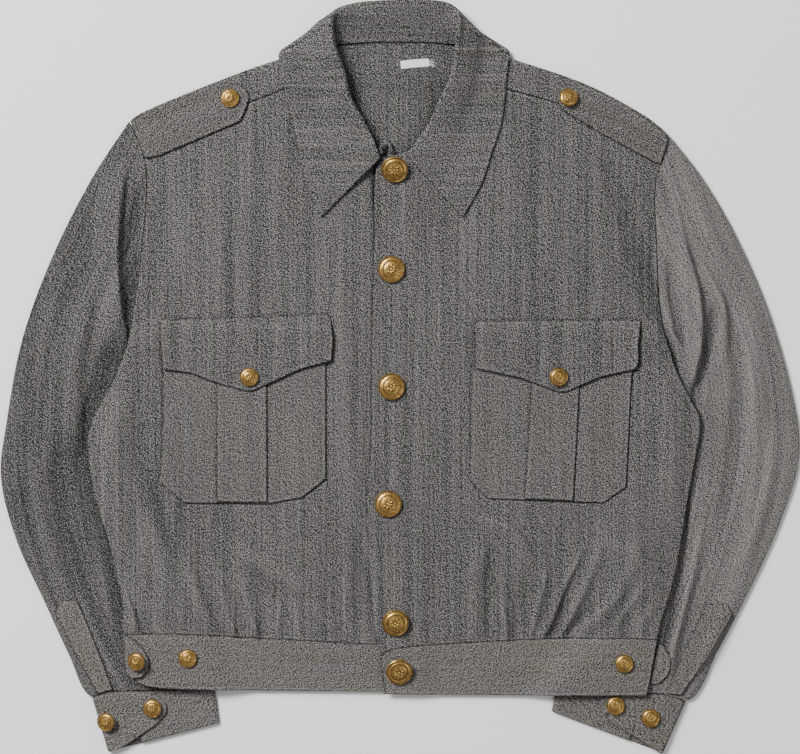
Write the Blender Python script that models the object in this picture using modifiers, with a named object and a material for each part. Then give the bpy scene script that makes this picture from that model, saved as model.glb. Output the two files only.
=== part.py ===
"""A waist-length military blouse, buttoned up and laid flat on its back.

Tables and sizes are in millimetres, seen from above: X to the right, Y to the collar, Z up.
The right side is the wearer's right, at -X. The origin is under the middle of the garment.
"""

import math
from collections import namedtuple

import bmesh
import bpy
from mathutils import Matrix, Vector
from mathutils.geometry import delaunay_2d_cdt

MM = 0.001

# Driving sizes
CLOTH = 1.5
BAND = 1.9
COLLAR_WALL = 2.0
PLEAT_WALL = 1.2
SEAM_GAP = 0.4
LAY_GAP = 0.35
LAP_GAP = 0.5
LOFT = 2.6
FOLD_LOFT = 1.2
SLEEVE_HEIGHT = 6.4
SLEEVE_LIFT = 7.0
MOUTH_SLANT = 0.12
COLLAR_LIFT = 2.9
PANEL_SPACING = 18.0
BACK_SPACING = 24.0
SMALL_SPACING = 12.0
NARROW_FOLD = 10.0
FOLD_STEP = 13.0
EDGE_RAMP = 38.0
BIG_BUTTON = 12.4
SMALL_BUTTON = 8.6
SHANK_RADIUS = 1.6
BUTTON_STEPS = 10

# Colours of the finishes
CLOTH_COLOUR = (0.14, 0.14, 0.145, 1.0)
BAND_COLOUR = (0.18, 0.17, 0.165, 1.0)
BRASS_COLOUR = (0.55, 0.36, 0.12, 1.0)
LABEL_COLOUR = (0.75, 0.74, 0.70, 1.0)

# Seams and edges, each a row of points from one end to the other
SHOULDER = {
    "right": [(-78, 309), (-106, 298), (-148, 284), (-204, 262), (-241, 246), (-252, 238)],
    "left": [(70, 310), (92, 300), (149, 282), (186, 267), (224, 246), (242, 233), (252, 223)],
}
YOKE_FRONT = {
    "right": [(-71, 283), (-107, 268), (-140, 255), (-186, 235), (-240, 212)],
    "left": [(65, 278), (98, 268), (145, 255), (196, 235), (245, 203)],
}
YOKE_BACK = {
    "right": [(-64, 307), (-107, 264), (-140, 250), (-186, 231), (-240, 212)],
    "left": [(56, 307), (98, 264), (145, 250), (196, 230), (245, 203)],
}
ARMHOLE_TOP = {
    "right": [(-252, 238), (-244, 222), (-240, 212)],
    "left": [(252, 223), (248, 209), (245, 203)],
}
ARMHOLE = {
    "right": [(-240, 212), (-236, 192), (-236, 165), (-239, 132), (-243, 95), (-248, 62), (-253, 30)],
    "left": [(245, 203), (239, 188), (237, 165), (238, 142), (239, 118), (241, 76), (244, 53), (248, 33)],
}
SIDE = {
    "right": [(-253, 30), (-267, -5), (-288, -46), (-289, -80), (-281, -120), (-270, -154),
              (-262, -184), (-258, -212), (-258, -239)],
    "left": [(248, 33), (257, 5), (270, -21), (279, -42), (274, -77), (267, -114), (262, -147),
             (253, -193), (243, -226), (239, -244)],
}
BACK_SIDE = {
    "right": [(-253, 30), (-249, 8), (-247, -17), (-268, -34), (-280, -60), (-280, -90), (-270, -154),
              (-258, -212), (-258, -239)],
    "left": [(248, 33), (246, 8), (246, -15), (262, -32), (272, -56), (266, -114), (262, -147),
             (253, -193), (239, -244)],
}
WAIST = {
    "right": [(-258, -239), (-204, -239), (-130, -243), (-55, -247), (12, -251)],
    "left": [(239, -244), (205, -243), (149, -243), (66, -247), (0, -252), (-17, -259)],
}
NECK_FRONT = {
    "right": [(-71, 283), (-62, 258), (-46, 231), (-29, 211), (-11, 204), (12, 202)],
    "left": [(65, 278), (56, 258), (38, 230), (14, 213), (-4, 207), (-17, 203)],
}
NECK_BACK = [(-64, 307), (-30, 312), (0, 313), (30, 312), (56, 307)]
UNDER_EDGE = [(12, -251), (12, -100), (12, 100), (12, 202)]
OVER_EDGE = [(-17, -259), (-22, -243), (-26, -207), (-31, -124), (-27, -59), (-26, 44), (-24, 127),
             (-24, 167), (-22, 194), (-17, 203)]
BAND_HEM = {
    "right": [(12, -293), (-93, -292), (-172, -291), (-223, -289), (-243, -284), (-253, -272)],
    "left": [(-13, -293), (-7, -295), (112, -296), (229, -296)],
}
BAND_END = {
    "right": [(-253, -272), (-256, -255), (-258, -239)],
    "left": [(229, -296), (232, -282), (239, -244)],
}

# A sleeve's cross lines, from the armhole down to the cuff
SleeveLine = namedtuple("SleeveLine", "inner_x inner_y outer_x outer_y")
SLEEVE = {
    "right": [
        SleeveLine(-253, 30, -252, 238),
        SleeveLine(-255, 14, -288, 183),
        SleeveLine(-255, -3, -325, 109),
        SleeveLine(-250, -22, -352, 34),
        SleeveLine(-243, -45, -366, -40),
        SleeveLine(-237, -80, -371.5, -94),
        SleeveLine(-232, -133, -357, -152),
        SleeveLine(-225, -185, -332, -207),
        SleeveLine(-208, -236, -306, -263),
        SleeveLine(-181, -290.5, -286, -297),
    ],
    "left": [
        SleeveLine(248, 33, 252, 223),
        SleeveLine(251, 17, 283, 183),
        SleeveLine(252, 2, 315, 127),
        SleeveLine(249, -18, 345, 56),
        SleeveLine(241, -45, 366, -20),
        SleeveLine(235, -80, 371.5, -76),
        SleeveLine(231, -133, 352, -140),
        SleeveLine(223, -185, 323, -203),
        SleeveLine(200, -240, 293, -260),
        SleeveLine(158, -293, 265.4, -301),
    ],
}

# Soft folds and gathers: a ridge from one point to the other, or a trough where its height is below 0
Fold = namedtuple("Fold", "x0 y0 x1 y1 half_width height")
BODY_FOLDS = {
    "right": [
        Fold(-136, -240, -146, -176, 8, 3.2),
        Fold(-154, -240, -184, -172, 8, 3.0),
        Fold(-174, -239, -208, -166, 8, 2.8),
        Fold(-118, -242, -111, -186, 8, 2.2),
        Fold(-98, -243, -86, -196, 8, 1.8),
        Fold(-240, -236, -256, -190, 8, 3.0),
        Fold(-222, -134, -190, -180, 13, 2.2),
        Fold(-262, 5, -266, -130, 18, 2.4),
        Fold(-231, 70, -234, -90, 12, -1.6),
        Fold(-200, 190, -206, 90, 20, -1.4),
        Fold(-66, -210, -62, -150, 16, 1.6),
    ],
    "left": [
        Fold(66, -245, 64, -200, 8, 2.0),
        Fold(96, -243, 92, -188, 8, 3.2),
        Fold(118, -241, 140, -200, 8, 2.6),
        Fold(137, -241, 172, -162, 8, 3.2),
        Fold(157, -241, 202, -162, 8, 2.8),
        Fold(176, -241, 228, -176, 8, 2.2),
        Fold(82, -133, 112, -152, 9, 2.4),
        Fold(112, -152, 124, -196, 10, 2.4),
        Fold(188, 222, 226, 128, 20, -1.6),
        Fold(224, 122, 240, 52, 15, -1.8),
        Fold(248, -10, 252, -130, 18, 2.2),
        Fold(40, -190, 44, -80, 24, 1.6),
    ],
}
SLEEVE_FOLDS = {
    "right": [
        Fold(-252, 206, -262, 140, 16, 2.6),
        Fold(-262, 140, -257, 40, 16, 3.2),
        Fold(-246, 170, -251, 62, 13, -2.9),
        Fold(-290, 110, -312, -40, 18, 2.6),
        Fold(-278, 22, -306, -62, 14, -2.4),
        Fold(-334, -10, -338, -130, 20, 2.2),
        Fold(-312, -90, -296, -190, 18, -2.2),
        Fold(-288, -130, -262, -230, 16, 2.4),
    ],
    "left": [
        Fold(264, 170, 274, 100, 18, 3.0),
        Fold(274, 100, 271, 20, 13, 4.4),
        Fold(254, 120, 257, 50, 12, -2.6),
        Fold(290, 66, 286, -30, 12, -2.8),
        Fold(286, 96, 302, 20, 14, 3.4),
        Fold(330, 40, 340, -70, 20, 2.0),
        Fold(286, -60, 300, -150, 18, -1.8),
        Fold(272, -165, 256, -228, 12, 3.2),
        Fold(312, -110, 290, -200, 18, 2.2),
    ],
}

# Collar sections round the neck: the seam, the roll, where the fall comes to rest, and its outer edge.
# A turn below 90 degrees falls on the front, above 90 it goes under the back.
CollarLine = namedtuple(
    "CollarLine", "seam_x seam_y roll_x roll_y roll_z hip_x hip_y hip_z edge_x edge_y edge_z turn")
COLLAR = [
    CollarLine(-22.5, 198.5, -19, 202, 9.0, -46, 175, 0, -73, 148, 0, 0),
    CollarLine(-33, 211, -25, 219, 10.5, -55, 196, 0, -84, 174, 0, 10),
    CollarLine(-49, 230, -35, 239, 13.0, -64, 218, 0, -91, 197, 0, 25),
    CollarLine(-65, 257, -46, 259, 15.5, -72, 242, 0, -97, 225, 0, 38),
    CollarLine(-74, 283, -53, 284, 18.0, -80, 271, 0, -106, 258, 0, 52),
    CollarLine(-77, 299, -61, 304, 20.5, -87, 293, 0, -109.5, 278, 0, 66),
    CollarLine(-74, 307, -64, 319, 22.0, -90, 306, 0, -112, 292, 0, 80),
    CollarLine(-68, 309, -64.5, 329, 21.5, -90, 314, 8.5, -112.5, 301, 5.5, 96),
    CollarLine(-63, 309.5, -62, 336, 19.5, -83, 323, 4.6, -105, 304.5, 1.8, 112),
    CollarLine(-55, 310, -57, 341, 17.0, -73, 330, 2.0, -91, 290, 1.2, 130),
    CollarLine(-40, 311, -42, 346, 13.5, -48, 328, 1.6, -60, 287, 1.2, 150),
    CollarLine(-20, 312, -22, 348, 10.5, -25, 326, 1.4, -28, 288, 1.2, 162),
    CollarLine(0, 312, 0, 349, 9.5, 0, 326, 1.4, 0, 288, 1.2, 165),
    CollarLine(20, 312, 24, 349, 10.0, 25, 326, 1.4, 28, 288, 1.2, 162),
    CollarLine(34, 311, 42, 347, 13.0, 45, 327, 1.6, 58, 287, 1.2, 152),
    CollarLine(47, 310, 52, 341, 16.5, 65, 327, 2.0, 83, 290, 1.2, 130),
    CollarLine(55, 309.5, 55, 335, 19.5, 74, 321, 4.6, 97, 304, 1.8, 112),
    CollarLine(60, 309, 55.5, 327, 21.5, 80, 314, 8.5, 102, 301, 5.5, 96),
    CollarLine(66, 307, 54, 314, 22.0, 80, 303, 0, 101, 291, 0, 80),
    CollarLine(70, 297, 53, 300, 20.5, 76, 289, 0, 99, 278, 0, 66),
    CollarLine(68, 279, 49, 281, 18.0, 73, 270, 0, 97.5, 258, 0, 52),
    CollarLine(57, 253, 38, 257, 15.5, 66, 246, 0, 94, 234, 0, 38),
    CollarLine(42, 229, 27, 234, 13.0, 57, 222, 0, 86, 210, 0, 25),
    CollarLine(25, 214, 17, 219, 10.8, 46, 200, 0, 76, 180, 0, 10),
    CollarLine(9.5, 202.5, 6, 206, 9.0, 32, 177, 0, 58, 148, 0, 0),
]
TIGHT_ROLL = 1.6
LOOSE_ROLL = 2.9

# Chest pockets: outlines of the pouch, its box pleat and the pointed flap
POUCH = {
    "right": [(-220, 40), (-220, -40), (-223, -97), (-200, -117), (-123, -118), (-91, -112), (-69, -95),
              (-69, 40)],
    "left": [(68, 40), (66, -40), (65, -96), (81, -113), (161, -116), (189, -117), (210, -102), (214, -21),
             (218, 40)],
}
PLEAT = {
    "right": [(-170, 34), (-170, -116), (-123.5, -116.5), (-124, 34)],
    "left": [(125, 34), (116, -113), (161, -115), (169, 34)],
}
FLAP = {
    "right": [(-223, 53), (-65, 58), (-62, 34), (-64, 15), (-93, 7), (-137, -13), (-143, -13), (-172, -5),
              (-195, 4), (-220, 7)],
    "left": [(70, 52), (224, 53), (221, 30), (222, 14), (218, 7), (186, 0), (154, -14), (147, -14),
             (112, -1), (70, 8)],
}
EPAULETTE = {
    "right": [(-250, 236), (-237, 203), (-223, 206), (-148, 238), (-143, 250), (-140, 260), (-142, 267),
              (-149, 272), (-166, 274), (-204, 259), (-240, 244)],
    "left": [(250, 221), (242, 197), (228, 204), (186, 227), (168, 238), (157, 244), (149, 251), (145, 259),
             (146, 267), (155, 272), (170, 272), (186, 265), (223, 244), (241, 231)],
}
SIDE_TAB = {
    "right": [(-255.5, -238), (-246, -245), (-238, -253), (-232.5, -263), (-233, -272), (-240, -279),
              (-249, -280), (-254, -275), (-255.5, -258)],
    "left": [(239.5, -247), (244, -249), (248, -254), (251, -261), (251, -269), (249, -277), (243, -284),
             (237, -286), (231.8, -285)],
}
SLEEVE_PLACKET = {
    "right": [(-315.5, -208), (-300, -207), (-293, -224), (-279, -259), (-267, -291), (-281, -294),
              (-302, -256), (-320, -219)],
    "left": [(285, -211), (304, -211), (309, -221), (287, -259), (261, -296), (247, -294), (261, -263),
             (279, -226)],
}
NECK_LOOP = [(-20.5, 206), (-20, 213), (-17, 218.5), (-12.5, 220.5), (-8.5, 218), (-7, 212), (-6.5, 208.5),
             (-10, 208), (-10.3, 212.5), (-12, 215.5), (-14, 215.5), (-15.8, 212), (-16, 206.5)]
NECK_LOOP_LEVEL = 6.7
NECK_LABEL = [(0, 287.5), (1, 293), (14, 295), (27, 295.5), (27.5, 290), (14, 289.5)]

# Cuffs: the seam and the hem from the outer fold to the inner one, and the rounded flap lapped over them
CUFF_TOP = {
    "right": [(-286, -297.4), (-268, -292.6), (-243, -291.8), (-173, -291)],
    "left": [(265.4, -301.6), (244, -294.6), (210, -293.8), (146, -293.5)],
}
CUFF_HEM = {
    "right": [(-271, -348.5), (-169, -322)],
    "left": [(244, -349.6), (142, -311.4)],
}
FlapLine = namedtuple("FlapLine", "top_x top_y hem_x hem_y")
CUFF_FLAP = {
    "right": [
        FlapLine(-284, -297, -269, -348.5),
        FlapLine(-268, -293, -257, -343.6),
        FlapLine(-243, -292.3, -240, -332),
        FlapLine(-229, -295, -226, -322),
        FlapLine(-220, -301, -219.5, -314.5),
        FlapLine(-217, -306, -217, -310),
    ],
    "left": [
        FlapLine(263.5, -301.2, 242.5, -350.2),
        FlapLine(247, -296, 231, -342.8),
        FlapLine(220, -294.4, 213, -331),
        FlapLine(200, -294.6, 198, -322.5),
        FlapLine(188.5, -298.5, 189.5, -315),
        FlapLine(186, -303, 186.4, -309),
    ],
}

# Buttons: where each is sewn, its size, and how far it tips (degrees, and the direction it leans to)
Button = namedtuple("Button", "name x y radius on tip towards")
BUTTONS = [
    Button("button_front_1", -5, 194, BIG_BUTTON, "over", 18, -90),
    Button("button_front_2", -8, 100, BIG_BUTTON, "over", 0, 0),
    Button("button_front_3", -8, -9, BIG_BUTTON, "over", 3, 0),
    Button("button_front_4", -11, -118, BIG_BUTTON, "over", 0, 0),
    Button("button_front_5", -4, -228, BIG_BUTTON, "over", 8, -90),
    Button("button_waist_centre", -1, -272, BIG_BUTTON, "band", 18, -80),
    Button("button_pocket_right", -140, 0, SMALL_BUTTON, "flap", 0, 0),
    Button("button_pocket_left", 147, 0, SMALL_BUTTON, "flap", 8, 0),
    Button("button_epaulette_right", -158, 259, SMALL_BUTTON, "epaulette", 0, 0),
    Button("button_epaulette_left", 156, 259, SMALL_BUTTON, "epaulette", 14, 60),
    Button("button_waist_tab", -243, -263, SMALL_BUTTON, "tab", 20, 200),
    Button("button_waist_right", -197, -261, SMALL_BUTTON, "band", 0, 0),
    Button("button_waist_left", 208, -266, SMALL_BUTTON, "band", 0, 0),
    Button("button_cuff_right_1", -272, -320, SMALL_BUTTON, "cuff", 18, 200),
    Button("button_cuff_right_2", -230, -308, SMALL_BUTTON, "cuff", 6, 200),
    Button("button_cuff_left_1", 200.4, -305.4, SMALL_BUTTON, "cuff", 0, 0),
    Button("button_cuff_left_2", 233, -317, SMALL_BUTTON, "cuff", 0, 0),
]


def ease(value, start, full):
    """0 before start, 1 after full, and a smooth step between them, in either direction."""
    t = min(1.0, max(0.0, (value - start) / (full - start)))
    return t * t * (3 - 2 * t)


def curve(points, step):
    """A smooth line through the points, with an even number of short steps between its ends."""
    dense = []
    last = len(points) - 1
    for i in range(last):
        p0, p1 = points[max(i - 1, 0)], points[i]
        p2, p3 = points[i + 1], points[min(i + 2, last)]
        for k in range(12):
            t = k / 12
            dense.append(tuple(
                0.5 * (2 * b + (c - a) * t + (2 * a - 5 * b + 4 * c - d) * t ** 2
                       + (3 * b - a - 3 * c + d) * t ** 3)
                for a, b, c, d in zip(p0, p1, p2, p3)))
    dense.append(tuple(float(v) for v in points[-1]))
    return resample(dense, step)


def resample(line, step):
    """The same line with points an equal distance apart, about one step, ends kept."""
    lengths = [0.0]
    for a, b in zip(line, line[1:]):
        lengths.append(lengths[-1] + math.dist(a, b))
    count = max(1, round(lengths[-1] / step))
    found, k = [], 0
    for i in range(count + 1):
        want = lengths[-1] * i / count
        while k < len(line) - 2 and lengths[k + 1] < want:
            k += 1
        span = lengths[k + 1] - lengths[k]
        t = (want - lengths[k]) / span if span else 0.0
        found.append(tuple(a + (b - a) * t for a, b in zip(line[k], line[k + 1])))
    return found


def outline(*lines):
    """One closed loop from lines that follow on, each turned round where it has to be."""
    loop = list(lines[0])
    for line in lines[1:]:
        line = list(line)
        if math.dist(loop[-1], line[0]) > math.dist(loop[-1], line[-1]):
            line.reverse()
        loop += line[1:]
    if math.dist(loop[0], loop[-1]) < 0.01:
        loop.pop()
    return loop


def straight_outline(corners, step):
    """A closed loop with sharp corners and its edges cut into short steps."""
    loop = []
    for a, b in zip(corners, corners[1:] + corners[:1]):
        loop += resample([a, b], step)[:-1]
    return loop


def inset(loop, distance):
    """The loop drawn in by a distance all round, counter-clockwise."""
    area = sum(a[0] * b[1] - b[0] * a[1] for a, b in zip(loop, loop[1:] + loop[:1]))
    if area < 0:
        loop = loop[::-1]
    moved = []
    for before, here, after in zip(loop[-1:] + loop[:-1], loop, loop[1:] + loop[:1]):
        into = (Vector(here) - Vector(before)).normalized()
        out = (Vector(after) - Vector(here)).normalized()
        normal = Vector((-into.y - out.y, into.x + out.x))
        normal /= max(0.5, normal.length_squared / 2)
        moved.append((here[0] + normal.x * distance, here[1] + normal.y * distance))
    return moved


def distance_to_line(x, y, line, closed=False):
    """How far a point is from a row of points."""
    ends = line[1:] + line[:1] if closed else line[1:]
    best = 1e9
    for a, b in zip(line, ends):
        dx, dy = b[0] - a[0], b[1] - a[1]
        t = max(0.0, min(1.0, ((x - a[0]) * dx + (y - a[1]) * dy) / (dx * dx + dy * dy)))
        best = min(best, math.hypot(x - a[0] - t * dx, y - a[1] - t * dy))
    return best


def inside(x, y, loop):
    """True where a point lies within a closed loop."""
    found = False
    for (ax, ay), (bx, by) in zip(loop, loop[1:] + loop[:1]):
        if (ay > y) != (by > y) and x < (bx - ax) * (y - ay) / (by - ay) + ax:
            found = not found
    return found


def fold_height(x, y, folds):
    """The height that folds and troughs add at a point."""
    total = 0.0
    for f in folds:
        dx, dy = f.x1 - f.x0, f.y1 - f.y0
        length = math.hypot(dx, dy)
        along = ((x - f.x0) * dx + (y - f.y0) * dy) / length
        across = ((y - f.y0) * dx - (x - f.x0) * dy) / length
        reach = f.half_width
        if abs(across) < reach and -reach < along < length + reach:
            crown = 0.5 + 0.5 * math.cos(math.pi * across / reach)
            rise = ease(along, -reach, 0.2 * length)
            total += f.height * crown * rise * ease(along, length + reach, 0.6 * length)
    return total


def fold_crests(folds):
    """The crest line of each narrow fold."""
    return [((f.x0, f.y0), (f.x1, f.y1)) for f in folds if f.half_width <= NARROW_FOLD]


def fold_points(folds, step):
    """Extra mesh points for each narrow fold, first along the crests, then on the flanks and feet."""
    narrow = [f for f in folds if f.half_width <= NARROW_FOLD]
    found = []
    for share in (0, -0.6, 0.6, -1.15, 1.15):
        for f in narrow:
            length = math.hypot(f.x1 - f.x0, f.y1 - f.y0)
            ux, uy = (f.x1 - f.x0) / length, (f.y1 - f.y0) / length
            for k in range(int(length / step) + 1):
                across = share * f.half_width
                point = (f.x0 + ux * k * step - uy * across, f.y0 + uy * k * step + ux * across)
                if all(math.dist(point, other) > 4.6 for other in found):
                    found.append(point)
    return found


def sign_of(side):
    """-1 on the wearer's right, 1 on the left."""
    return -1 if side == "right" else 1


def side_of(x):
    """The wearer's side that a point belongs to."""
    return "right" if x < 0 else "left"


def at_height(line, y):
    """Where a line that runs down the garment crosses a height."""
    for (ax, ay), (bx, by) in zip(line, line[1:]):
        if by <= y <= ay:
            return ax + (bx - ax) * (ay - y) / (ay - by) if ay > by else ax
    return line[0][0] if y > line[0][1] else line[-1][0]


SLEEVE_INNER = {side: [(row.inner_x, row.inner_y) for row in rows] for side, rows in SLEEVE.items()}
ARMPIT_Y = {side: rows[0].inner_y for side, rows in SLEEVE.items()}


def line_height(line, x):
    """The y at which a line that runs across the garment passes x."""
    for a, b in zip(line, line[1:]):
        if min(a[0], b[0]) <= x <= max(a[0], b[0]):
            return a[1] + (b[1] - a[1]) * (x - a[0]) / (b[0] - a[0])
    return line[0][1] if abs(x - line[0][0]) < abs(x - line[-1][0]) else line[-1][1]


def sleeve_cover(x, y):
    """1 where the body lies over a sleeve, falling to 0 towards its middle."""
    side = side_of(x)
    edge = at_height(SLEEVE_INNER[side], y)
    return 1 - ease(sign_of(side) * (edge - x), 6, 50)


def back_under(x, y):
    """The underside of the layer that lies on the floor, or on a sleeve or the collar."""
    below = ease(y, ARMPIT_Y[side_of(x)], -14)
    collar = ease(y, 258, 284) * (1 - ease(abs(x + 5), 112, 150))
    return SLEEVE_LIFT * below * sleeve_cover(x, y) + COLLAR_LIFT * collar


def loft(x, y):
    """The air between front and back: little along the shoulder and side folds, more inside."""
    side = side_of(x)
    shoulder = ease(distance_to_line(x, y, SHOULDER[side]), 0, EDGE_RAMP)
    below_arm = ease(y, ARMPIT_Y[side] + 10, ARMPIT_Y[side] - 40)
    flank = 1 - below_arm * (1 - ease(abs(at_height(SIDE[side], y)) - abs(x), 0, EDGE_RAMP))
    waist = 0.45 + 0.55 * ease(y, -240, -190)
    return FOLD_LOFT + (LOFT - FOLD_LOFT) * shoulder * flank * waist


def upper_under(x, y):
    """The underside of the upper layer, without folds: fronts, yoke and their neighbours."""
    armpit = ARMPIT_Y[side_of(x)]
    over_sleeve = ease(y, armpit + 24, armpit - 2) * (1 - ease(y, armpit, -14))
    return (back_under(x, y) + CLOTH + LAY_GAP + loft(x, y)
            + SLEEVE_LIFT * over_sleeve * sleeve_cover(x, y))


def sleeve_folds(side, x, y):
    """The sleeve's folds, which die out where the body presses on it."""
    free = ease(abs(x) - abs(at_height(SIDE[side], y)), 4, 26)
    free = max(free, ease(y, ARMPIT_Y[side] - 16, ARMPIT_Y[side] + 10))
    return fold_height(x, y, SLEEVE_FOLDS[side]) * free


def centre_lap(x, wall):
    """The step up where the left front passes over the right front, level with the grid's columns."""
    return (wall + LAP_GAP) * min(1.0, max(0.0, 2 - x / PANEL_SPACING))


def front_under(side):
    """The underside of one front, with its folds."""
    def height(x, y):
        lap = centre_lap(x, CLOTH) if side == "left" else 0.0
        return upper_under(x, y) + lap + fold_height(x, y, BODY_FOLDS[side])
    return height


class Sheet:
    """A piece cut flat and laid at a height: triangles over its outline, and the height of its underside."""

    def __init__(self, loop, inner, under, lines=()):
        flat = [Vector(p) for p in loop + inner]
        edges = [(i, (i + 1) % len(loop)) for i in range(len(loop))]
        for a, b in lines:
            edges.append((len(flat), len(flat) + 1))
            flat += [Vector(a), Vector(b)]
        points, _, faces, *_ = delaunay_2d_cdt(flat, edges, [], 1, 1e-4)
        centres = [sum((points[i] for i in f), Vector((0, 0))) / 3 for f in faces]
        self.faces = [f for f, centre in zip(faces, centres) if inside(*centre, loop)]
        used = {i for f in self.faces for i in f}
        self.points = points
        self.levels = {i: under(points[i].x, points[i].y) for i in used}

    def level(self, x, y):
        """The height of the underside at a point, straight across each triangle."""
        best, found = -1e9, 0.0
        for face in self.faces:
            a, b, c = (self.points[i] for i in face)
            area = (b.x - a.x) * (c.y - a.y) - (c.x - a.x) * (b.y - a.y)
            u = ((b.x - x) * (c.y - y) - (c.x - x) * (b.y - y)) / area
            v = ((c.x - x) * (a.y - y) - (a.x - x) * (c.y - y)) / area
            w = 1 - u - v
            if min(u, v, w) > best:
                best = min(u, v, w)
                found = sum(s * self.levels[i] for s, i in zip((u, v, w), face))
                if best >= 0:
                    break
        return found

    def within(self, loop):
        """The points and lines of this sheet that another piece laid on it has to follow."""
        xs = [p[0] for p in loop]
        ys = [p[1] for p in loop]
        near = {
            i for i in self.levels
            if min(xs) - 30 < self.points[i].x < max(xs) + 30
            and min(ys) - 30 < self.points[i].y < max(ys) + 30
        }
        pairs = {tuple(sorted((f[k], f[k - 1]))) for f in self.faces for k in range(3)}
        return [(tuple(self.points[i]), tuple(self.points[j])) for i, j in sorted(pairs)
                if i in near and j in near]


def lattice(loop, spacing, keep_off):
    """Points of one shared grid that lie well within a loop, so that layers fold at the same places."""
    xs = [p[0] for p in loop]
    ys = [p[1] for p in loop]
    found = []
    for j in range(math.floor(min(ys) / spacing), math.ceil(max(ys) / spacing) + 1):
        for i in range(math.floor(min(xs) / spacing), math.ceil(max(xs) / spacing) + 1):
            x, y = i * spacing, j * spacing
            if inside(x, y, loop) and distance_to_line(x, y, loop, closed=True) > keep_off:
                found.append((x, y))
    return found


def new_object(name, mesh_data, colour, finish):
    """Links a finished mesh as one named piece with its own material."""
    material = bpy.data.materials.new(name)
    material.use_nodes = True
    shader = material.node_tree.nodes["Principled BSDF"]
    shader.inputs["Base Color"].default_value = colour
    shader.inputs["Roughness"].default_value = finish[0]
    shader.inputs["Metallic"].default_value = finish[1]
    piece = bpy.data.objects.new(name, mesh_data)
    piece.data.materials.append(material)
    GARMENT.objects.link(piece)
    return piece


def cloth_panel(name, loop, under, wall=CLOTH, spacing=PANEL_SPACING, folds=(), colour=CLOTH_COLOUR):
    """A flat-cut piece: its outline filled with a grid, laid at a height and given its wall upwards."""
    loop = inset(loop, SEAM_GAP / 2)
    inner = lattice(loop, spacing, 0.4 * spacing)
    added = [
        p for p in fold_points(folds, FOLD_STEP)
        if inside(p[0], p[1], loop) and distance_to_line(p[0], p[1], loop, closed=True) > 2.0
    ]
    inner = [p for p in inner if all(math.dist(p, q) > 0.45 * spacing for q in added)] + added
    sheet = Sheet(loop, inner, under, fold_crests(folds))
    build_sheet(name, sheet, wall, colour)
    return sheet


def laid_panel(name, loop, base, under, wall=CLOTH, lines=(), colour=CLOTH_COLOUR):
    """A piece laid on another: made from the other's points and lines, moved up to its own height."""
    loop = inset(loop, SEAM_GAP / 2)
    sheet = Sheet(loop, [], under, base.within(loop) + list(lines))
    build_sheet(name, sheet, wall, colour)
    return sheet


def build_sheet(name, sheet, wall, colour):
    """The solid of a sheet: its underside, its top straight above and the cut edge between."""
    mesh = bmesh.new()
    made = {i: mesh.verts.new((*sheet.points[i] * MM, z * MM)) for i, z in sheet.levels.items()}
    for face in sheet.faces:
        mesh.faces.new([made[i] for i in face])
    raised = bmesh.ops.extrude_face_region(mesh, geom=mesh.faces[:], use_keep_orig=True)
    top = [g for g in raised["geom"] if isinstance(g, bmesh.types.BMVert)]
    bmesh.ops.translate(mesh, verts=top, vec=(0, 0, wall * MM))
    return finish_mesh(name, mesh, colour)


def finish_mesh(name, mesh, colour):
    """Turns a bmesh into a piece, with its faces pointing out."""
    bmesh.ops.recalc_face_normals(mesh, faces=mesh.faces[:])
    data = bpy.data.meshes.new(name)
    mesh.to_mesh(data)
    mesh.free()
    return new_object(name, data, colour, (0.9, 0.0))


def cloth_loft(name, sections, wall, colour=CLOTH_COLOUR):
    """A piece lofted through sections of its middle surface, then thickened to both sides."""
    mesh = bmesh.new()
    rows = [[mesh.verts.new(Vector(p) * MM) for p in section] for section in sections]
    for a, b in zip(rows, rows[1:]):
        for k in range(len(a) - 1):
            mesh.faces.new((a[k], a[k + 1], b[k + 1], b[k]))
    piece = finish_mesh(name, mesh, colour)
    shell = piece.modifiers.new("wall", "SOLIDIFY")
    shell.thickness = wall * MM
    shell.offset = 0.0
    shell.use_even_offset = True
    return piece


def blend_rows(rows, count):
    """A smooth run of rows between the table's rows."""
    found = []
    last = len(rows) - 1
    for k in range(count + 1):
        place = last * k / count
        i = min(int(place), last - 1)
        t = place - i
        p0, p1 = rows[max(i - 1, 0)], rows[i]
        p2, p3 = rows[i + 1], rows[min(i + 2, last)]
        found.append([
            0.5 * (2 * b + (c - a) * t + (2 * a - 5 * b + 4 * c - d) * t ** 2
                   + (3 * b - a - 3 * c + d) * t ** 3)
            for a, b, c, d in zip(p0, p1, p2, p3)])
    return found


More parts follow.
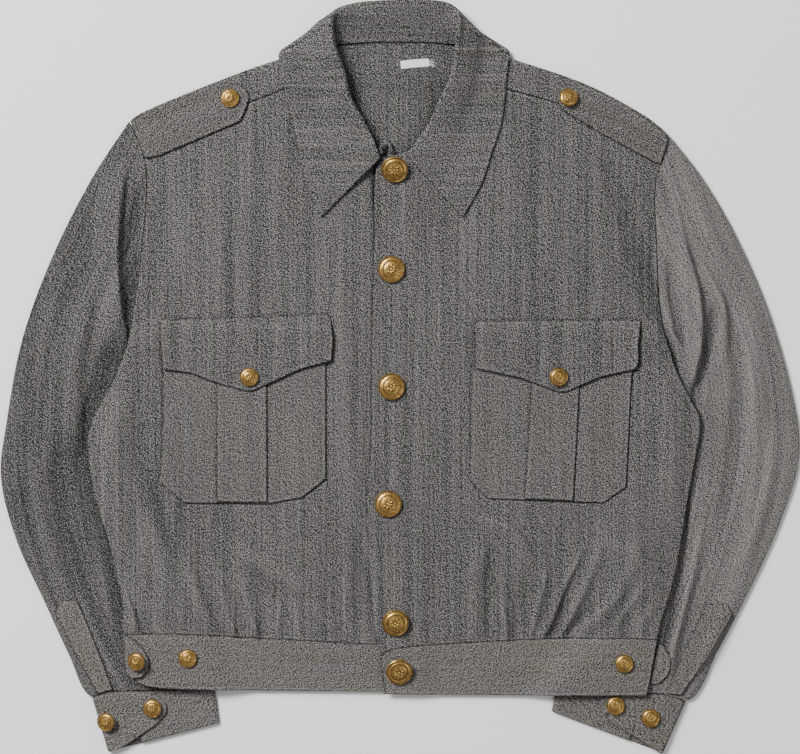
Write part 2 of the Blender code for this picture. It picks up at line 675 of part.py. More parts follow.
def yoke(side):
    """The shoulder yoke: a strip on the front that turns over the shoulder and ends on the back."""
    stations = 12
    lines = []
    for table in (YOKE_FRONT, SHOULDER, YOKE_BACK):
        dense = curve(table[side], 1.0)
        length = sum(math.dist(a, b) for a, b in zip(dense, dense[1:]))
        lines.append(resample(dense, length / stations))
    sections = []
    for front, fold, back in zip(*lines):
        front, fold, back = Vector(front), Vector(fold), Vector(back)
        into = (front - fold).normalized()
        front += (fold - front).normalized() * SEAM_GAP
        back += (fold - back).normalized() * SEAM_GAP
        turn = fold + into * CLOTH * 1.6
        tip = fold + into * CLOTH * 0.6
        upper = [front, front.lerp(turn, 0.5), turn]
        lower = [back.lerp(turn, 0.04), back.lerp(turn, 0.5), turn]
        section = [(p.x, p.y, upper_under(p.x, p.y) + CLOTH / 2) for p in upper]
        low = [(p.x, p.y, back_under(p.x, p.y) + CLOTH / 2 + 0.1) for p in lower]
        section.append((tip.x, tip.y, (section[-1][2] + low[-1][2]) / 2))
        sections.append(section + low[::-1])
    trimmed = [along_inset(a, b) for a, b in ((sections[0], sections[1]), (sections[-1], sections[-2]))]
    return cloth_loft(f"yoke_{side}", [trimmed[0]] + sections[1:-1] + [trimmed[1]], CLOTH)


def along_inset(end, following):
    """An end section drawn in from its seam by the seam's gap."""
    moved = []
    for a, b in zip(end, following):
        a, b = Vector(a), Vector(b)
        moved.append(tuple(a + (b - a).normalized() * SEAM_GAP * 2))
    return moved


def front(side):
    """One front: from the yoke seam and neckline down to the waistband."""
    edge = UNDER_EDGE if side == "right" else OVER_EDGE
    loop = outline(
        curve(YOKE_FRONT[side], PANEL_SPACING), curve(ARMHOLE[side], PANEL_SPACING),
        curve(SIDE[side], PANEL_SPACING), curve(WAIST[side], PANEL_SPACING / 2),
        curve(edge, PANEL_SPACING), curve(NECK_FRONT[side], PANEL_SPACING))
    return cloth_panel(f"front_{side}", loop, front_under(side), folds=BODY_FOLDS[side])


def back():
    """The back in one piece, from the neckline down to the waistband."""
    waist = [(-258, -239), (-100, -246), (0, -248), (100, -247), (239, -244)]
    loop = outline(
        curve(NECK_BACK, PANEL_SPACING), curve(YOKE_BACK["left"], PANEL_SPACING),
        curve(ARMHOLE["left"], PANEL_SPACING), curve(BACK_SIDE["left"], PANEL_SPACING),
        curve(waist[::-1], PANEL_SPACING), curve(BACK_SIDE["right"][::-1], PANEL_SPACING),
        curve(ARMHOLE["right"][::-1], PANEL_SPACING), curve(YOKE_BACK["right"][::-1], PANEL_SPACING))
    return cloth_panel("back", loop, back_under, spacing=BACK_SPACING)


def sleeve(side):
    """A sleeve: a flattened tube of rings, flat below, with folds on its upper side."""
    above, below = 13, 6
    lines = blend_rows(SLEEVE[side], 25)
    del lines[1]
    stations = len(lines) - 1
    dense = curve((ARMHOLE_TOP[side] + ARMHOLE[side][1:])[::-1], 1.0)
    chord_from, chord_to = Vector(dense[0]), Vector(dense[-1])
    angles = [math.pi * j / above for j in range(above)]
    angles += [math.pi * (1 + j / below) for j in range(below)]
    mesh = bmesh.new()
    made = []
    for k, line in enumerate(lines):
        inner, outer = Vector(line[:2]), Vector(line[2:])
        length = (outer - inner).length
        chord = (outer - inner).normalized()
        before, after = lines[max(k - 1, 0)], lines[min(k + 1, stations)]
        slant = [
            max(0.12, abs(chord.cross((Vector(after[n:n + 2]) - Vector(before[n:n + 2])).normalized())))
            for n in (0, 2)
        ]
        if k < 2:
            slant[0] = MOUTH_SLANT
        bow = 1 - ease(k, 0, 6)
        drawn_in = Vector((2 * sign_of(side) * SEAM_GAP * (k == 0), 0))
        rims = []
        for wall in (0.0, CLOTH):
            rim = []
            for angle in angles:
                share = 0.5 - 0.5 * math.cos(angle)
                start, stop = wall / slant[0], length - wall / slant[1]
                t = (start + share * (stop - start)) / length
                seam = Vector(dense[round(t * (len(dense) - 1))])
                spot = inner.lerp(outer, t) + (seam - chord_from.lerp(chord_to, t)) * bow + drawn_in
                end_y = line_height(CUFF_TOP[side], spot.x) + 1.5 * SEAM_GAP
                spot.y += (end_y - spot.y) * ease(k, stations - 3, stations)
                crown = (1 - abs(2 * share - 1) ** 4) ** 0.5
                mid = SLEEVE_HEIGHT / 2
                if angle < math.pi:
                    z = mid + (mid - wall) * crown + sleeve_folds(side, *spot) * crown
                else:
                    z = mid - (mid - wall) * crown
                rim.append(mesh.verts.new(Vector((spot.x, spot.y, z)) * MM))
            rims.append(rim)
        made.append(rims)
    count = len(angles)
    for first, second in zip(made, made[1:]):
        for rim_a, rim_b in zip(first, second):
            for j in range(count):
                n = (j + 1) % count
                mesh.faces.new((rim_a[j], rim_a[n], rim_b[n], rim_b[j]))
    for outer_rim, inner_rim in (made[0], made[-1]):
        for j in range(count):
            n = (j + 1) % count
            mesh.faces.new((outer_rim[j], outer_rim[n], inner_rim[n], inner_rim[j]))
    return finish_mesh(f"sleeve_{side}", mesh, CLOTH_COLOUR)


def garment_top(x, y):
    """The top of the fronts and yoke as the collar meets them, with the lap at the centre."""
    return upper_under(x, y) + centre_lap(x, CLOTH) * ease(x, -42, -30) + CLOTH


def collar():
    """The collar: a stand that rises from the neck seam, turns at the roll and falls to the points."""
    rest = LAY_GAP + 0.35 + COLLAR_WALL / 2
    sections = []
    for values in blend_rows(COLLAR, 42):
        row = CollarLine(*values)
        radius = TIGHT_ROLL + (LOOSE_ROLL - TIGHT_ROLL) * ease(row.turn, 5, 60)
        seam_z = back_under(row.seam_x, row.seam_y) + CLOTH + rest
        if row.seam_y < 306:
            seam_z = garment_top(row.seam_x, row.seam_y) + rest
        seam = Vector((row.seam_x, row.seam_y, seam_z))
        clear = garment_top(row.roll_x, row.roll_y) + rest + radius
        roll = Vector((row.roll_x, row.roll_y, max(row.roll_z, clear)))
        hip = Vector((row.hip_x, row.hip_y, row.hip_z))
        edge = Vector((row.edge_x, row.edge_y, row.edge_z))
        if row.turn < 90:
            hip.z = max(hip.z, garment_top(hip.x, hip.y) + rest + 0.5)
            edge.z = max(edge.z, garment_top(edge.x, edge.y) + rest)
        outward = Vector((row.hip_x - row.roll_x, row.hip_y - row.roll_y, 0)).normalized()
        if row.turn > 90:
            behind = Vector((row.roll_x * 0.4, row.roll_y - 300, 0)).normalized()
            outward = outward.lerp(behind, ease(row.turn, 90, 140)).normalized()
        turn = math.radians(row.turn)
        tip = -outward * math.cos(turn) + Vector((0, 0, math.sin(turn)))
        spread = outward * math.sin(turn) + Vector((0, 0, math.cos(turn)))
        near = roll - tip * radius - spread * radius
        far = roll - tip * radius + spread * radius
        slope = far.lerp(hip, 0.5)
        slope.z = hip.z + 0.62 * (far.z - hip.z)
        sections.append([seam, seam.lerp(near, 0.5), near, roll, far, slope, hip, hip.lerp(edge, 0.5), edge])
    return cloth_loft("collar", sections, COLLAR_WALL)


def pocket(side, base):
    """A chest pocket: pouch, raised box pleat and pointed flap, each laid on the one below."""
    def above(gap):
        return lambda x, y: base.level(x, y) + CLOTH + gap

    laid_panel(f"pocket_{side}", straight_outline(POUCH[side], PANEL_SPACING), base, above(LAY_GAP))
    laid_panel(f"pocket_pleat_{side}", straight_outline(PLEAT[side], PANEL_SPACING), base,
               above(2 * LAY_GAP + CLOTH), wall=PLEAT_WALL)

    def flap_under(x, y):
        step = (CLOTH + PLEAT_WALL + 2 * LAY_GAP) * ease(y, 52, 43)
        return above(LAY_GAP)(x, y) + step

    xs = [p[0] for p in FLAP[side]]
    bend = ((min(xs) - 5, 43), (max(xs) + 5, 43))
    return laid_panel(f"pocket_flap_{side}", straight_outline(FLAP[side], SMALL_SPACING), base, flap_under,
                      lines=[bend])


def waistband():
    """The band round the waist: the back band, two front bands and the two adjusting tabs."""
    back_loop = outline(
        curve([(-257, -241), (-100, -248), (0, -250), (100, -249), (238, -246)], PANEL_SPACING),
        curve([(238, -246), (231, -282), (228, -294)], PANEL_SPACING),
        curve([(228, -294), (100, -294), (-93, -291), (-172, -290), (-220, -288), (-242, -283)],
              PANEL_SPACING),
        curve([(-242, -283), (-252, -272), (-257, -241)], PANEL_SPACING))
    cloth_panel("waistband_back", back_loop, back_under, wall=BAND, colour=BAND_COLOUR)

    def band_under(side):
        def height(x, y):
            lap = centre_lap(x, BAND) if side == "left" else 0.0
            return back_under(x, y) + BAND + LAY_GAP + FOLD_LOFT + lap
        return height

    heights = {}
    for side in ("right", "left"):
        edge = [(12, -251), (12, -293)] if side == "right" else [(-17, -259), (-16, -275), (-13, -293)]
        loop = outline(curve(WAIST[side], PANEL_SPACING / 2), curve(edge, PANEL_SPACING),
                       curve(BAND_HEM[side], PANEL_SPACING), curve(BAND_END[side], PANEL_SPACING))
        heights[side] = band_under(side)
        cloth_panel(f"waistband_front_{side}", loop, heights[side], wall=BAND, colour=BAND_COLOUR)

    def right_tab_under(x, y):
        return heights["right"](x, y) + BAND + LAY_GAP + 0.6

    cloth_panel("waist_tab_right", straight_outline(SIDE_TAB["right"], SMALL_SPACING), right_tab_under,
                wall=BAND, spacing=SMALL_SPACING, colour=BAND_COLOUR)
    return heights, right_tab_under


def lying_on_sleeve(side, gap):
    """A height that lies over a sleeve's upper side by a gap."""
    return lambda x, y: SLEEVE_HEIGHT + gap + max(0.0, sleeve_folds(side, x, y))


def left_tab():
    """The unbuttoned tab that lies out beyond the back band's left end, on the sleeve."""
    cloth_panel("waist_tab_left", straight_outline(SIDE_TAB["left"], SMALL_SPACING),
                lying_on_sleeve("left", 2 * LAY_GAP), wall=CLOTH, spacing=SMALL_SPACING, colour=BAND_COLOUR)


def cuff(side):
    """A cuff: a band wound once round the wrist and lapped over itself, ending in a rounded flap."""
    low, middle, high = (BAND / 2 + n * (BAND + SEAM_GAP) for n in range(3))
    top, hem = CUFF_TOP[side], CUFF_HEM[side]
    turn = 0.018
    path = [(0.30, middle), (0.55, middle), (0.80, middle), (1 - turn, middle), (1.0, (low + middle) / 2),
            (1 - turn, low), (0.75, low), (0.5, low), (0.25, low), (turn, low), (0.0, middle - 0.3)]
    sections = []
    for across, z in path:
        upper_x = top[0][0] + (top[-1][0] - top[0][0]) * across
        upper = Vector((upper_x, line_height(top, upper_x)))
        lower = Vector(hem[0]).lerp(Vector(hem[1]), across)
        sections.append([(*upper.lerp(lower, j / 4), z) for j in range(5)])
    for row in blend_rows(CUFF_FLAP[side], 10):
        upper, lower = Vector(row[:2]), Vector(row[2:])
        sections.append([(*upper.lerp(lower, j / 4), high) for j in range(5)])
    cloth_loft(f"cuff_{side}", sections, BAND - 0.1, colour=BAND_COLOUR)
    return high + BAND / 2


def small_pieces(tops):
    """Epaulettes, sleeve plackets, the neck label and the little loop at the throat."""
    for side in ("right", "left"):
        def strap_under(x, y):
            return upper_under(x, y) + CLOTH + LAY_GAP + 0.2
        tops["epaulette"] = strap_under
        cloth_panel(f"epaulette_{side}", straight_outline(EPAULETTE[side], SMALL_SPACING), strap_under,
                    wall=BAND, spacing=SMALL_SPACING, colour=BAND_COLOUR)
        cloth_panel(f"sleeve_placket_{side}", straight_outline(SLEEVE_PLACKET[side], SMALL_SPACING),
                    lying_on_sleeve(side, 1.5 * LAY_GAP), spacing=SMALL_SPACING, colour=BAND_COLOUR)
    cloth_panel("neck_loop", NECK_LOOP, lambda x, y: NECK_LOOP_LEVEL, wall=1.2, spacing=SMALL_SPACING)
    cloth_panel("neck_label", straight_outline(NECK_LABEL, SMALL_SPACING),
                lambda x, y: back_under(x, y) + CLOTH + LAY_GAP, wall=0.8, spacing=SMALL_SPACING,
                colour=LABEL_COLOUR)


def button(spec, top):
    """A domed metal button on its shank, set on the cloth, tipped where the photograph shows it so."""
    r = spec.radius
    tip = math.radians(spec.tip)
    shank = 1.2 + (r - SHANK_RADIUS) * math.tan(tip)
    profile = [(0, 0.42 * r), (0.5 * r, 0.36 * r), (0.86 * r, 0.22 * r), (r, 0.10 * r), (0.92 * r, 0),
               (SHANK_RADIUS, 0), (SHANK_RADIUS, -shank), (0, -shank)]
    data = bpy.data.meshes.new(spec.name)
    edges = [(i, i + 1) for i in range(len(profile) - 1)]
    data.from_pydata([(x * MM, 0, z * MM) for x, z in profile], edges, [])
    piece = new_object(spec.name, data, BRASS_COLOUR, (0.35, 1.0))
    turned = piece.modifiers.new("turned", "SCREW")
    turned.steps = turned.render_steps = BUTTON_STEPS
    turned.use_merge_vertices = True
    turned.merge_threshold = 0.00001
    turned.use_normal_calculate = True
    lean = Matrix.Rotation(math.radians(spec.towards), 4, "Z") @ Matrix.Rotation(tip, 4, "Y")
    foot = lean @ Vector((0, 0, -shank * MM))
    drop = SHANK_RADIUS * math.sin(tip)
    piece.matrix_world = Matrix.Translation(
        Vector((spec.x * MM, spec.y * MM, (top + LAY_GAP + drop) * MM)) - foot) @ lean
    return piece


def clear_scene():
    """Removes what the file opened with."""
    for thing in list(bpy.data.objects):
        bpy.data.objects.remove(thing)


clear_scene()
GARMENT = bpy.data.collections.new("military_jacket")
bpy.context.scene.collection.children.link(GARMENT)

back()
tops = {}
flap_tops = {}
for wearer_side in ("right", "left"):
    yoke(wearer_side)
    sheet = front(wearer_side)
    sleeve(wearer_side)
    flap_tops[wearer_side] = pocket(wearer_side, sheet)
    cuff_top = cuff(wearer_side)
collar()
left_tab()
band_heights, tab_height = waistband()
small_pieces(tops)

for one in BUTTONS:
    where = side_of(one.x)
    level = {
        "over": lambda: front_under("left")(one.x, one.y) + CLOTH,
        "flap": lambda: flap_tops[where].level(one.x, one.y) + CLOTH,
        "epaulette": lambda: tops["epaulette"](one.x, one.y) + BAND,
        "tab": lambda: tab_height(one.x, one.y) + BAND,
        "band": lambda: band_heights["right" if one.x < -20 else "left"](one.x, one.y) + BAND,
        "cuff": lambda: cuff_top,
    }[one.on]()
    button(one, level)
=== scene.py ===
"""The looks of a waist-length military jacket that lies buttoned up and flat on its back.

Every cloth piece is cut to its outline, laid at the height of its solid and given folds, seams and
stitches. Sizes in the tables are millimetres, seen from above: X to the right, Y to the collar.
The right side is the wearer's right, at -X.
"""

import math
from collections import namedtuple

import bpy
import numpy as np
from mathutils import Matrix, Vector
from mathutils.geometry import delaunay_2d_cdt


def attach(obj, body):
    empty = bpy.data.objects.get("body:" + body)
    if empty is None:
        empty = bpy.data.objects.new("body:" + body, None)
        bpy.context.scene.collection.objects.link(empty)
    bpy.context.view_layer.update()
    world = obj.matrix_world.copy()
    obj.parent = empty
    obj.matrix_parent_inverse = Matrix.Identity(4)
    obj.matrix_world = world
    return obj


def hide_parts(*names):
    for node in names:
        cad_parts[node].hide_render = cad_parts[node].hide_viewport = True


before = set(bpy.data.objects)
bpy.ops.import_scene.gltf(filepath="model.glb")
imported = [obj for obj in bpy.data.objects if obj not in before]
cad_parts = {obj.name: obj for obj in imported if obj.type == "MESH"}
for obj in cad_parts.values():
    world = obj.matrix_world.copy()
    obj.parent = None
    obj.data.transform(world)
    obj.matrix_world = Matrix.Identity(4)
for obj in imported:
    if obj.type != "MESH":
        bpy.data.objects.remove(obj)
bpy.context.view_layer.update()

bl_info = {
    "name": "Military jacket",
    "version": (1, 0, 0),
    "blender": (4, 5, 0),
    "location": "3D View > Sidebar > Jacket",
    "description": "Dresses the solids of a laid-flat jacket in cloth, stitching and brass buttons",
    "category": "Object",
}

MM = 0.001

# What the camera sees across, in metres: 800 pixels of 0.93 mm
VIEW_WIDTH = 0.93 * 0.800

# Sizes that the solids have too
CLOTH = 1.5
BAND = 1.9
COLLAR_WALL = 2.0
PLEAT_WALL = 1.2
SEAM_GAP = 0.4
LAY_GAP = 0.35
LAP_GAP = 0.5
LOFT = 2.6
FOLD_LOFT = 1.2
SLEEVE_HEIGHT = 6.4
SLEEVE_LIFT = 7.0
MOUTH_SLANT = 0.12
COLLAR_LIFT = 2.9
LAP_RAMP = 18.0
EDGE_RAMP = 38.0
FREE_SLEEVE_Y = -14
BIG_BUTTON = 12.4
SMALL_BUTTON = 8.6
SHANK_RADIUS = 1.6
CUT_BACK = 0.12
PRESS_DEPTH = 0.7
CREASE_LIFT = 2.0
SLEEVE_LOOSE = 2.0
TIGHT_ROLL = 1.6
LOOSE_ROLL = 2.9

# Seams and edges, each a row of points from one end to the other
SHOULDER = {
    "right": [(-78, 309), (-106, 298), (-148, 284), (-204, 262), (-241, 246), (-252, 238)],
    "left": [(70, 310), (92, 300), (149, 282), (186, 267), (224, 246), (242, 233), (252, 223)],
}
YOKE_FRONT = {
    "right": [(-71, 283), (-107, 268), (-140, 255), (-186, 235), (-240, 212)],
    "left": [(65, 278), (98, 268), (145, 255), (196, 235), (245, 203)],
}
YOKE_BACK = {
    "right": [(-64, 307), (-107, 264), (-140, 250), (-186, 231), (-240, 212)],
    "left": [(56, 307), (98, 264), (145, 250), (196, 230), (245, 203)],
}
ARMHOLE_TOP = {
    "right": [(-252, 238), (-244, 222), (-240, 212)],
    "left": [(252, 223), (248, 209), (245, 203)],
}
ARMHOLE = {
    "right": [(-240, 212), (-236, 192), (-236, 165), (-239, 132), (-243, 95), (-248, 62), (-253, 30)],
    "left": [(245, 203), (239, 188), (237, 165), (238, 142), (239, 118), (241, 76), (244, 53), (248, 33)],
}
SIDE = {
    "right": [(-253, 30), (-267, -5), (-288, -46), (-289, -80), (-281, -120), (-270, -154),
              (-262, -184), (-258, -212), (-258, -239)],
    "left": [(248, 33), (257, 5), (270, -21), (279, -42), (274, -77), (267, -114), (262, -147),
             (253, -193), (243, -226), (239, -244)],
}
BACK_SIDE = {
    "right": [(-253, 30), (-249, 8), (-247, -17), (-268, -34), (-280, -60), (-280, -90), (-270, -154),
              (-258, -212), (-258, -239)],
    "left": [(248, 33), (246, 8), (246, -15), (262, -32), (272, -56), (266, -114), (262, -147),
             (253, -193), (239, -244)],
}
WAIST = {
    "right": [(-258, -239), (-204, -239), (-130, -243), (-55, -247), (12, -251)],
    "left": [(239, -244), (205, -243), (149, -243), (66, -247), (0, -252), (-17, -259)],
}
NECK_FRONT = {
    "right": [(-71, 283), (-62, 258), (-46, 231), (-29, 211), (-11, 204), (12, 202)],
    "left": [(65, 278), (56, 258), (38, 230), (14, 213), (-4, 207), (-17, 203)],
}
NECK_BACK = [(-64, 307), (-30, 312), (0, 313), (30, 312), (56, 307)]
UNDER_EDGE = [(12, -251), (12, -100), (12, 100), (12, 202)]
OVER_EDGE = [(-17, -259), (-22, -243), (-26, -207), (-31, -124), (-27, -59), (-26, 44), (-24, 127),
             (-24, 167), (-22, 194), (-17, 203)]
BAND_HEM = {
    "right": [(12, -293), (-93, -292), (-172, -291), (-223, -289), (-243, -284), (-253, -272)],
    "left": [(-13, -293), (-7, -295), (112, -296), (229, -296)],
}
BAND_END = {
    "right": [(-253, -272), (-256, -255), (-258, -239)],
    "left": [(229, -296), (232, -282), (239, -244)],
}

# A sleeve's cross lines, from the armhole down to the cuff
SleeveLine = namedtuple("SleeveLine", "inner_x inner_y outer_x outer_y")
SLEEVE = {
    "right": [
        SleeveLine(-253, 30, -252, 238),
        SleeveLine(-255, 14, -288, 183),
        SleeveLine(-255, -3, -325, 109),
        SleeveLine(-250, -22, -352, 34),
        SleeveLine(-243, -45, -366, -40),
        SleeveLine(-237, -80, -371.5, -94),
        SleeveLine(-232, -133, -357, -152),
        SleeveLine(-225, -185, -332, -207),
        SleeveLine(-208, -236, -306, -263),
        SleeveLine(-181, -290.5, -286, -297),
    ],
    "left": [
        SleeveLine(248, 33, 252, 223),
        SleeveLine(251, 17, 283, 183),
        SleeveLine(252, 2, 315, 127),
        SleeveLine(249, -18, 345, 56),
        SleeveLine(241, -45, 366, -20),
        SleeveLine(235, -80, 371.5, -76),
        SleeveLine(231, -133, 352, -140),
        SleeveLine(223, -185, 323, -203),
        SleeveLine(200, -240, 293, -260),
        SleeveLine(158, -293, 265.4, -301),
    ],
}

# Collar sections round the neck: the seam, the roll, where the fall comes to rest, and its outer edge
CollarLine = namedtuple(
    "CollarLine", "seam_x seam_y roll_x roll_y roll_z hip_x hip_y hip_z edge_x edge_y edge_z turn")
COLLAR = [
    CollarLine(-22.5, 198.5, -19, 202, 9.0, -46, 175, 0, -73, 148, 0, 0),
    CollarLine(-33, 211, -25, 219, 10.5, -55, 196, 0, -84, 174, 0, 10),
    CollarLine(-49, 230, -35, 239, 13.0, -64, 218, 0, -91, 197, 0, 25),
    CollarLine(-65, 257, -46, 259, 15.5, -72, 242, 0, -97, 225, 0, 38),
    CollarLine(-74, 283, -53, 284, 18.0, -80, 271, 0, -106, 258, 0, 52),
    CollarLine(-77, 299, -61, 304, 20.5, -87, 293, 0, -109.5, 278, 0, 66),
    CollarLine(-74, 307, -64, 319, 22.0, -90, 306, 0, -112, 292, 0, 80),
    CollarLine(-68, 309, -64.5, 329, 21.5, -90, 314, 8.5, -112.5, 301, 5.5, 96),
    CollarLine(-63, 309.5, -62, 336, 19.5, -83, 323, 4.6, -105, 304.5, 1.8, 112),
    CollarLine(-55, 310, -57, 341, 17.0, -73, 330, 2.0, -91, 290, 1.2, 130),
    CollarLine(-40, 311, -42, 346, 13.5, -48, 328, 1.6, -60, 287, 1.2, 150),
    CollarLine(-20, 312, -22, 348, 10.5, -25, 326, 1.4, -28, 288, 1.2, 162),
    CollarLine(0, 312, 0, 349, 9.5, 0, 326, 1.4, 0, 288, 1.2, 165),
    CollarLine(20, 312, 24, 349, 10.0, 25, 326, 1.4, 28, 288, 1.2, 162),
    CollarLine(34, 311, 42, 347, 13.0, 45, 327, 1.6, 58, 287, 1.2, 152),
    CollarLine(47, 310, 52, 341, 16.5, 65, 327, 2.0, 83, 290, 1.2, 130),
    CollarLine(55, 309.5, 55, 335, 19.5, 74, 321, 4.6, 97, 304, 1.8, 112),
    CollarLine(60, 309, 55.5, 327, 21.5, 80, 314, 8.5, 102, 301, 5.5, 96),
    CollarLine(66, 307, 54, 314, 22.0, 80, 303, 0, 101, 291, 0, 80),
    CollarLine(70, 297, 53, 300, 20.5, 76, 289, 0, 99, 278, 0, 66),
    CollarLine(68, 279, 49, 281, 18.0, 73, 270, 0, 97.5, 258, 0, 52),
    CollarLine(57, 253, 38, 257, 15.5, 66, 246, 0, 94, 234, 0, 38),
    CollarLine(42, 229, 27, 234, 13.0, 57, 222, 0, 86, 210, 0, 25),
    CollarLine(25, 214, 17, 219, 10.8, 46, 200, 0, 76, 180, 0, 10),
    CollarLine(9.5, 202.5, 6, 206, 9.0, 32, 177, 0, 58, 148, 0, 0),
]

# Chest pockets, straps, tabs and small pieces: outlines
POUCH = {
    "right": [(-220, 40), (-220, -40), (-223, -97), (-200, -117), (-123, -118), (-91, -112), (-69, -95),
              (-69, 40)],
    "left": [(68, 40), (66, -40), (65, -96), (81, -113), (161, -116), (189, -117), (210, -102), (214, -21),
             (218, 40)],
}
PLEAT = {
    "right": [(-170, 34), (-170, -116), (-123.5, -116.5), (-124, 34)],
    "left": [(125, 34), (116, -113), (161, -115), (169, 34)],
}
FLAP = {
    "right": [(-223, 53), (-65, 58), (-62, 34), (-64, 15), (-93, 7), (-137, -13), (-143, -13), (-172, -5),
              (-195, 4), (-220, 7)],
    "left": [(70, 52), (224, 53), (221, 30), (222, 14), (218, 7), (186, 0), (154, -14), (147, -14),
             (112, -1), (70, 8)],
}
EPAULETTE = {
    "right": [(-250, 236), (-237, 203), (-223, 206), (-148, 238), (-143, 250), (-140, 260), (-142, 267),
              (-149, 272), (-166, 274), (-204, 259), (-240, 244)],
    "left": [(250, 221), (242, 197), (228, 204), (186, 227), (168, 238), (157, 244), (149, 251), (145, 259),
             (146, 267), (155, 272), (170, 272), (186, 265), (223, 244), (241, 231)],
}
SIDE_TAB = {
    "right": [(-255.5, -238), (-246, -245), (-238, -253), (-232.5, -263), (-233, -272), (-240, -279),
              (-249, -280), (-254, -275), (-255.5, -258)],
    "left": [(239.5, -247), (244, -249), (248, -254), (251, -261), (251, -269), (249, -277), (243, -284),
             (237, -286), (231.8, -285)],
}
SLEEVE_PLACKET = {
    "right": [(-315.5, -208), (-300, -207), (-293, -224), (-279, -259), (-267, -291), (-281, -294),
              (-302, -256), (-320, -219)],
    "left": [(285, -211), (304, -211), (309, -221), (287, -259), (261, -296), (247, -294), (261, -263),
             (279, -226)],
}
NECK_LOOP = [(-20.5, 206), (-20, 213), (-17, 218.5), (-12.5, 220.5), (-8.5, 218), (-7, 212), (-6.5, 208.5),
             (-10, 208), (-10.3, 212.5), (-12, 215.5), (-14, 215.5), (-15.8, 212), (-16, 206.5)]
NECK_LOOP_LEVEL = 6.7
NECK_LABEL = [(1.0, 286.2), (0.2, 294.0), (14, 295.6), (26.8, 296.4), (28.0, 288.8), (14, 287.6)]
CUFF_TOP = {
    "right": [(-286, -297.4), (-268, -292.6), (-243, -291.8), (-173, -291)],
    "left": [(265.4, -301.6), (244, -294.6), (210, -293.8), (146, -293.5)],
}
CUFF_HEM = {
    "right": [(-271, -348.5), (-169, -322)],
    "left": [(244, -349.6), (142, -311.4)],
}
FlapLine = namedtuple("FlapLine", "top_x top_y hem_x hem_y")
CUFF_FLAP = {
    "right": [
        FlapLine(-284, -297, -269, -348.5),
        FlapLine(-268, -293, -257, -343.6),
        FlapLine(-243, -292.3, -240, -332),
        FlapLine(-229, -295, -226, -322),
        FlapLine(-220, -301, -219.5, -314.5),
        FlapLine(-217, -306, -217, -310),
    ],
    "left": [
        FlapLine(263.5, -301.2, 242.5, -350.2),
        FlapLine(247, -296, 231, -342.8),
        FlapLine(220, -294.4, 213, -331),
        FlapLine(200, -294.6, 198, -322.5),
        FlapLine(188.5, -298.5, 189.5, -315),
        FlapLine(186, -303, 186.4, -309),
    ],
}

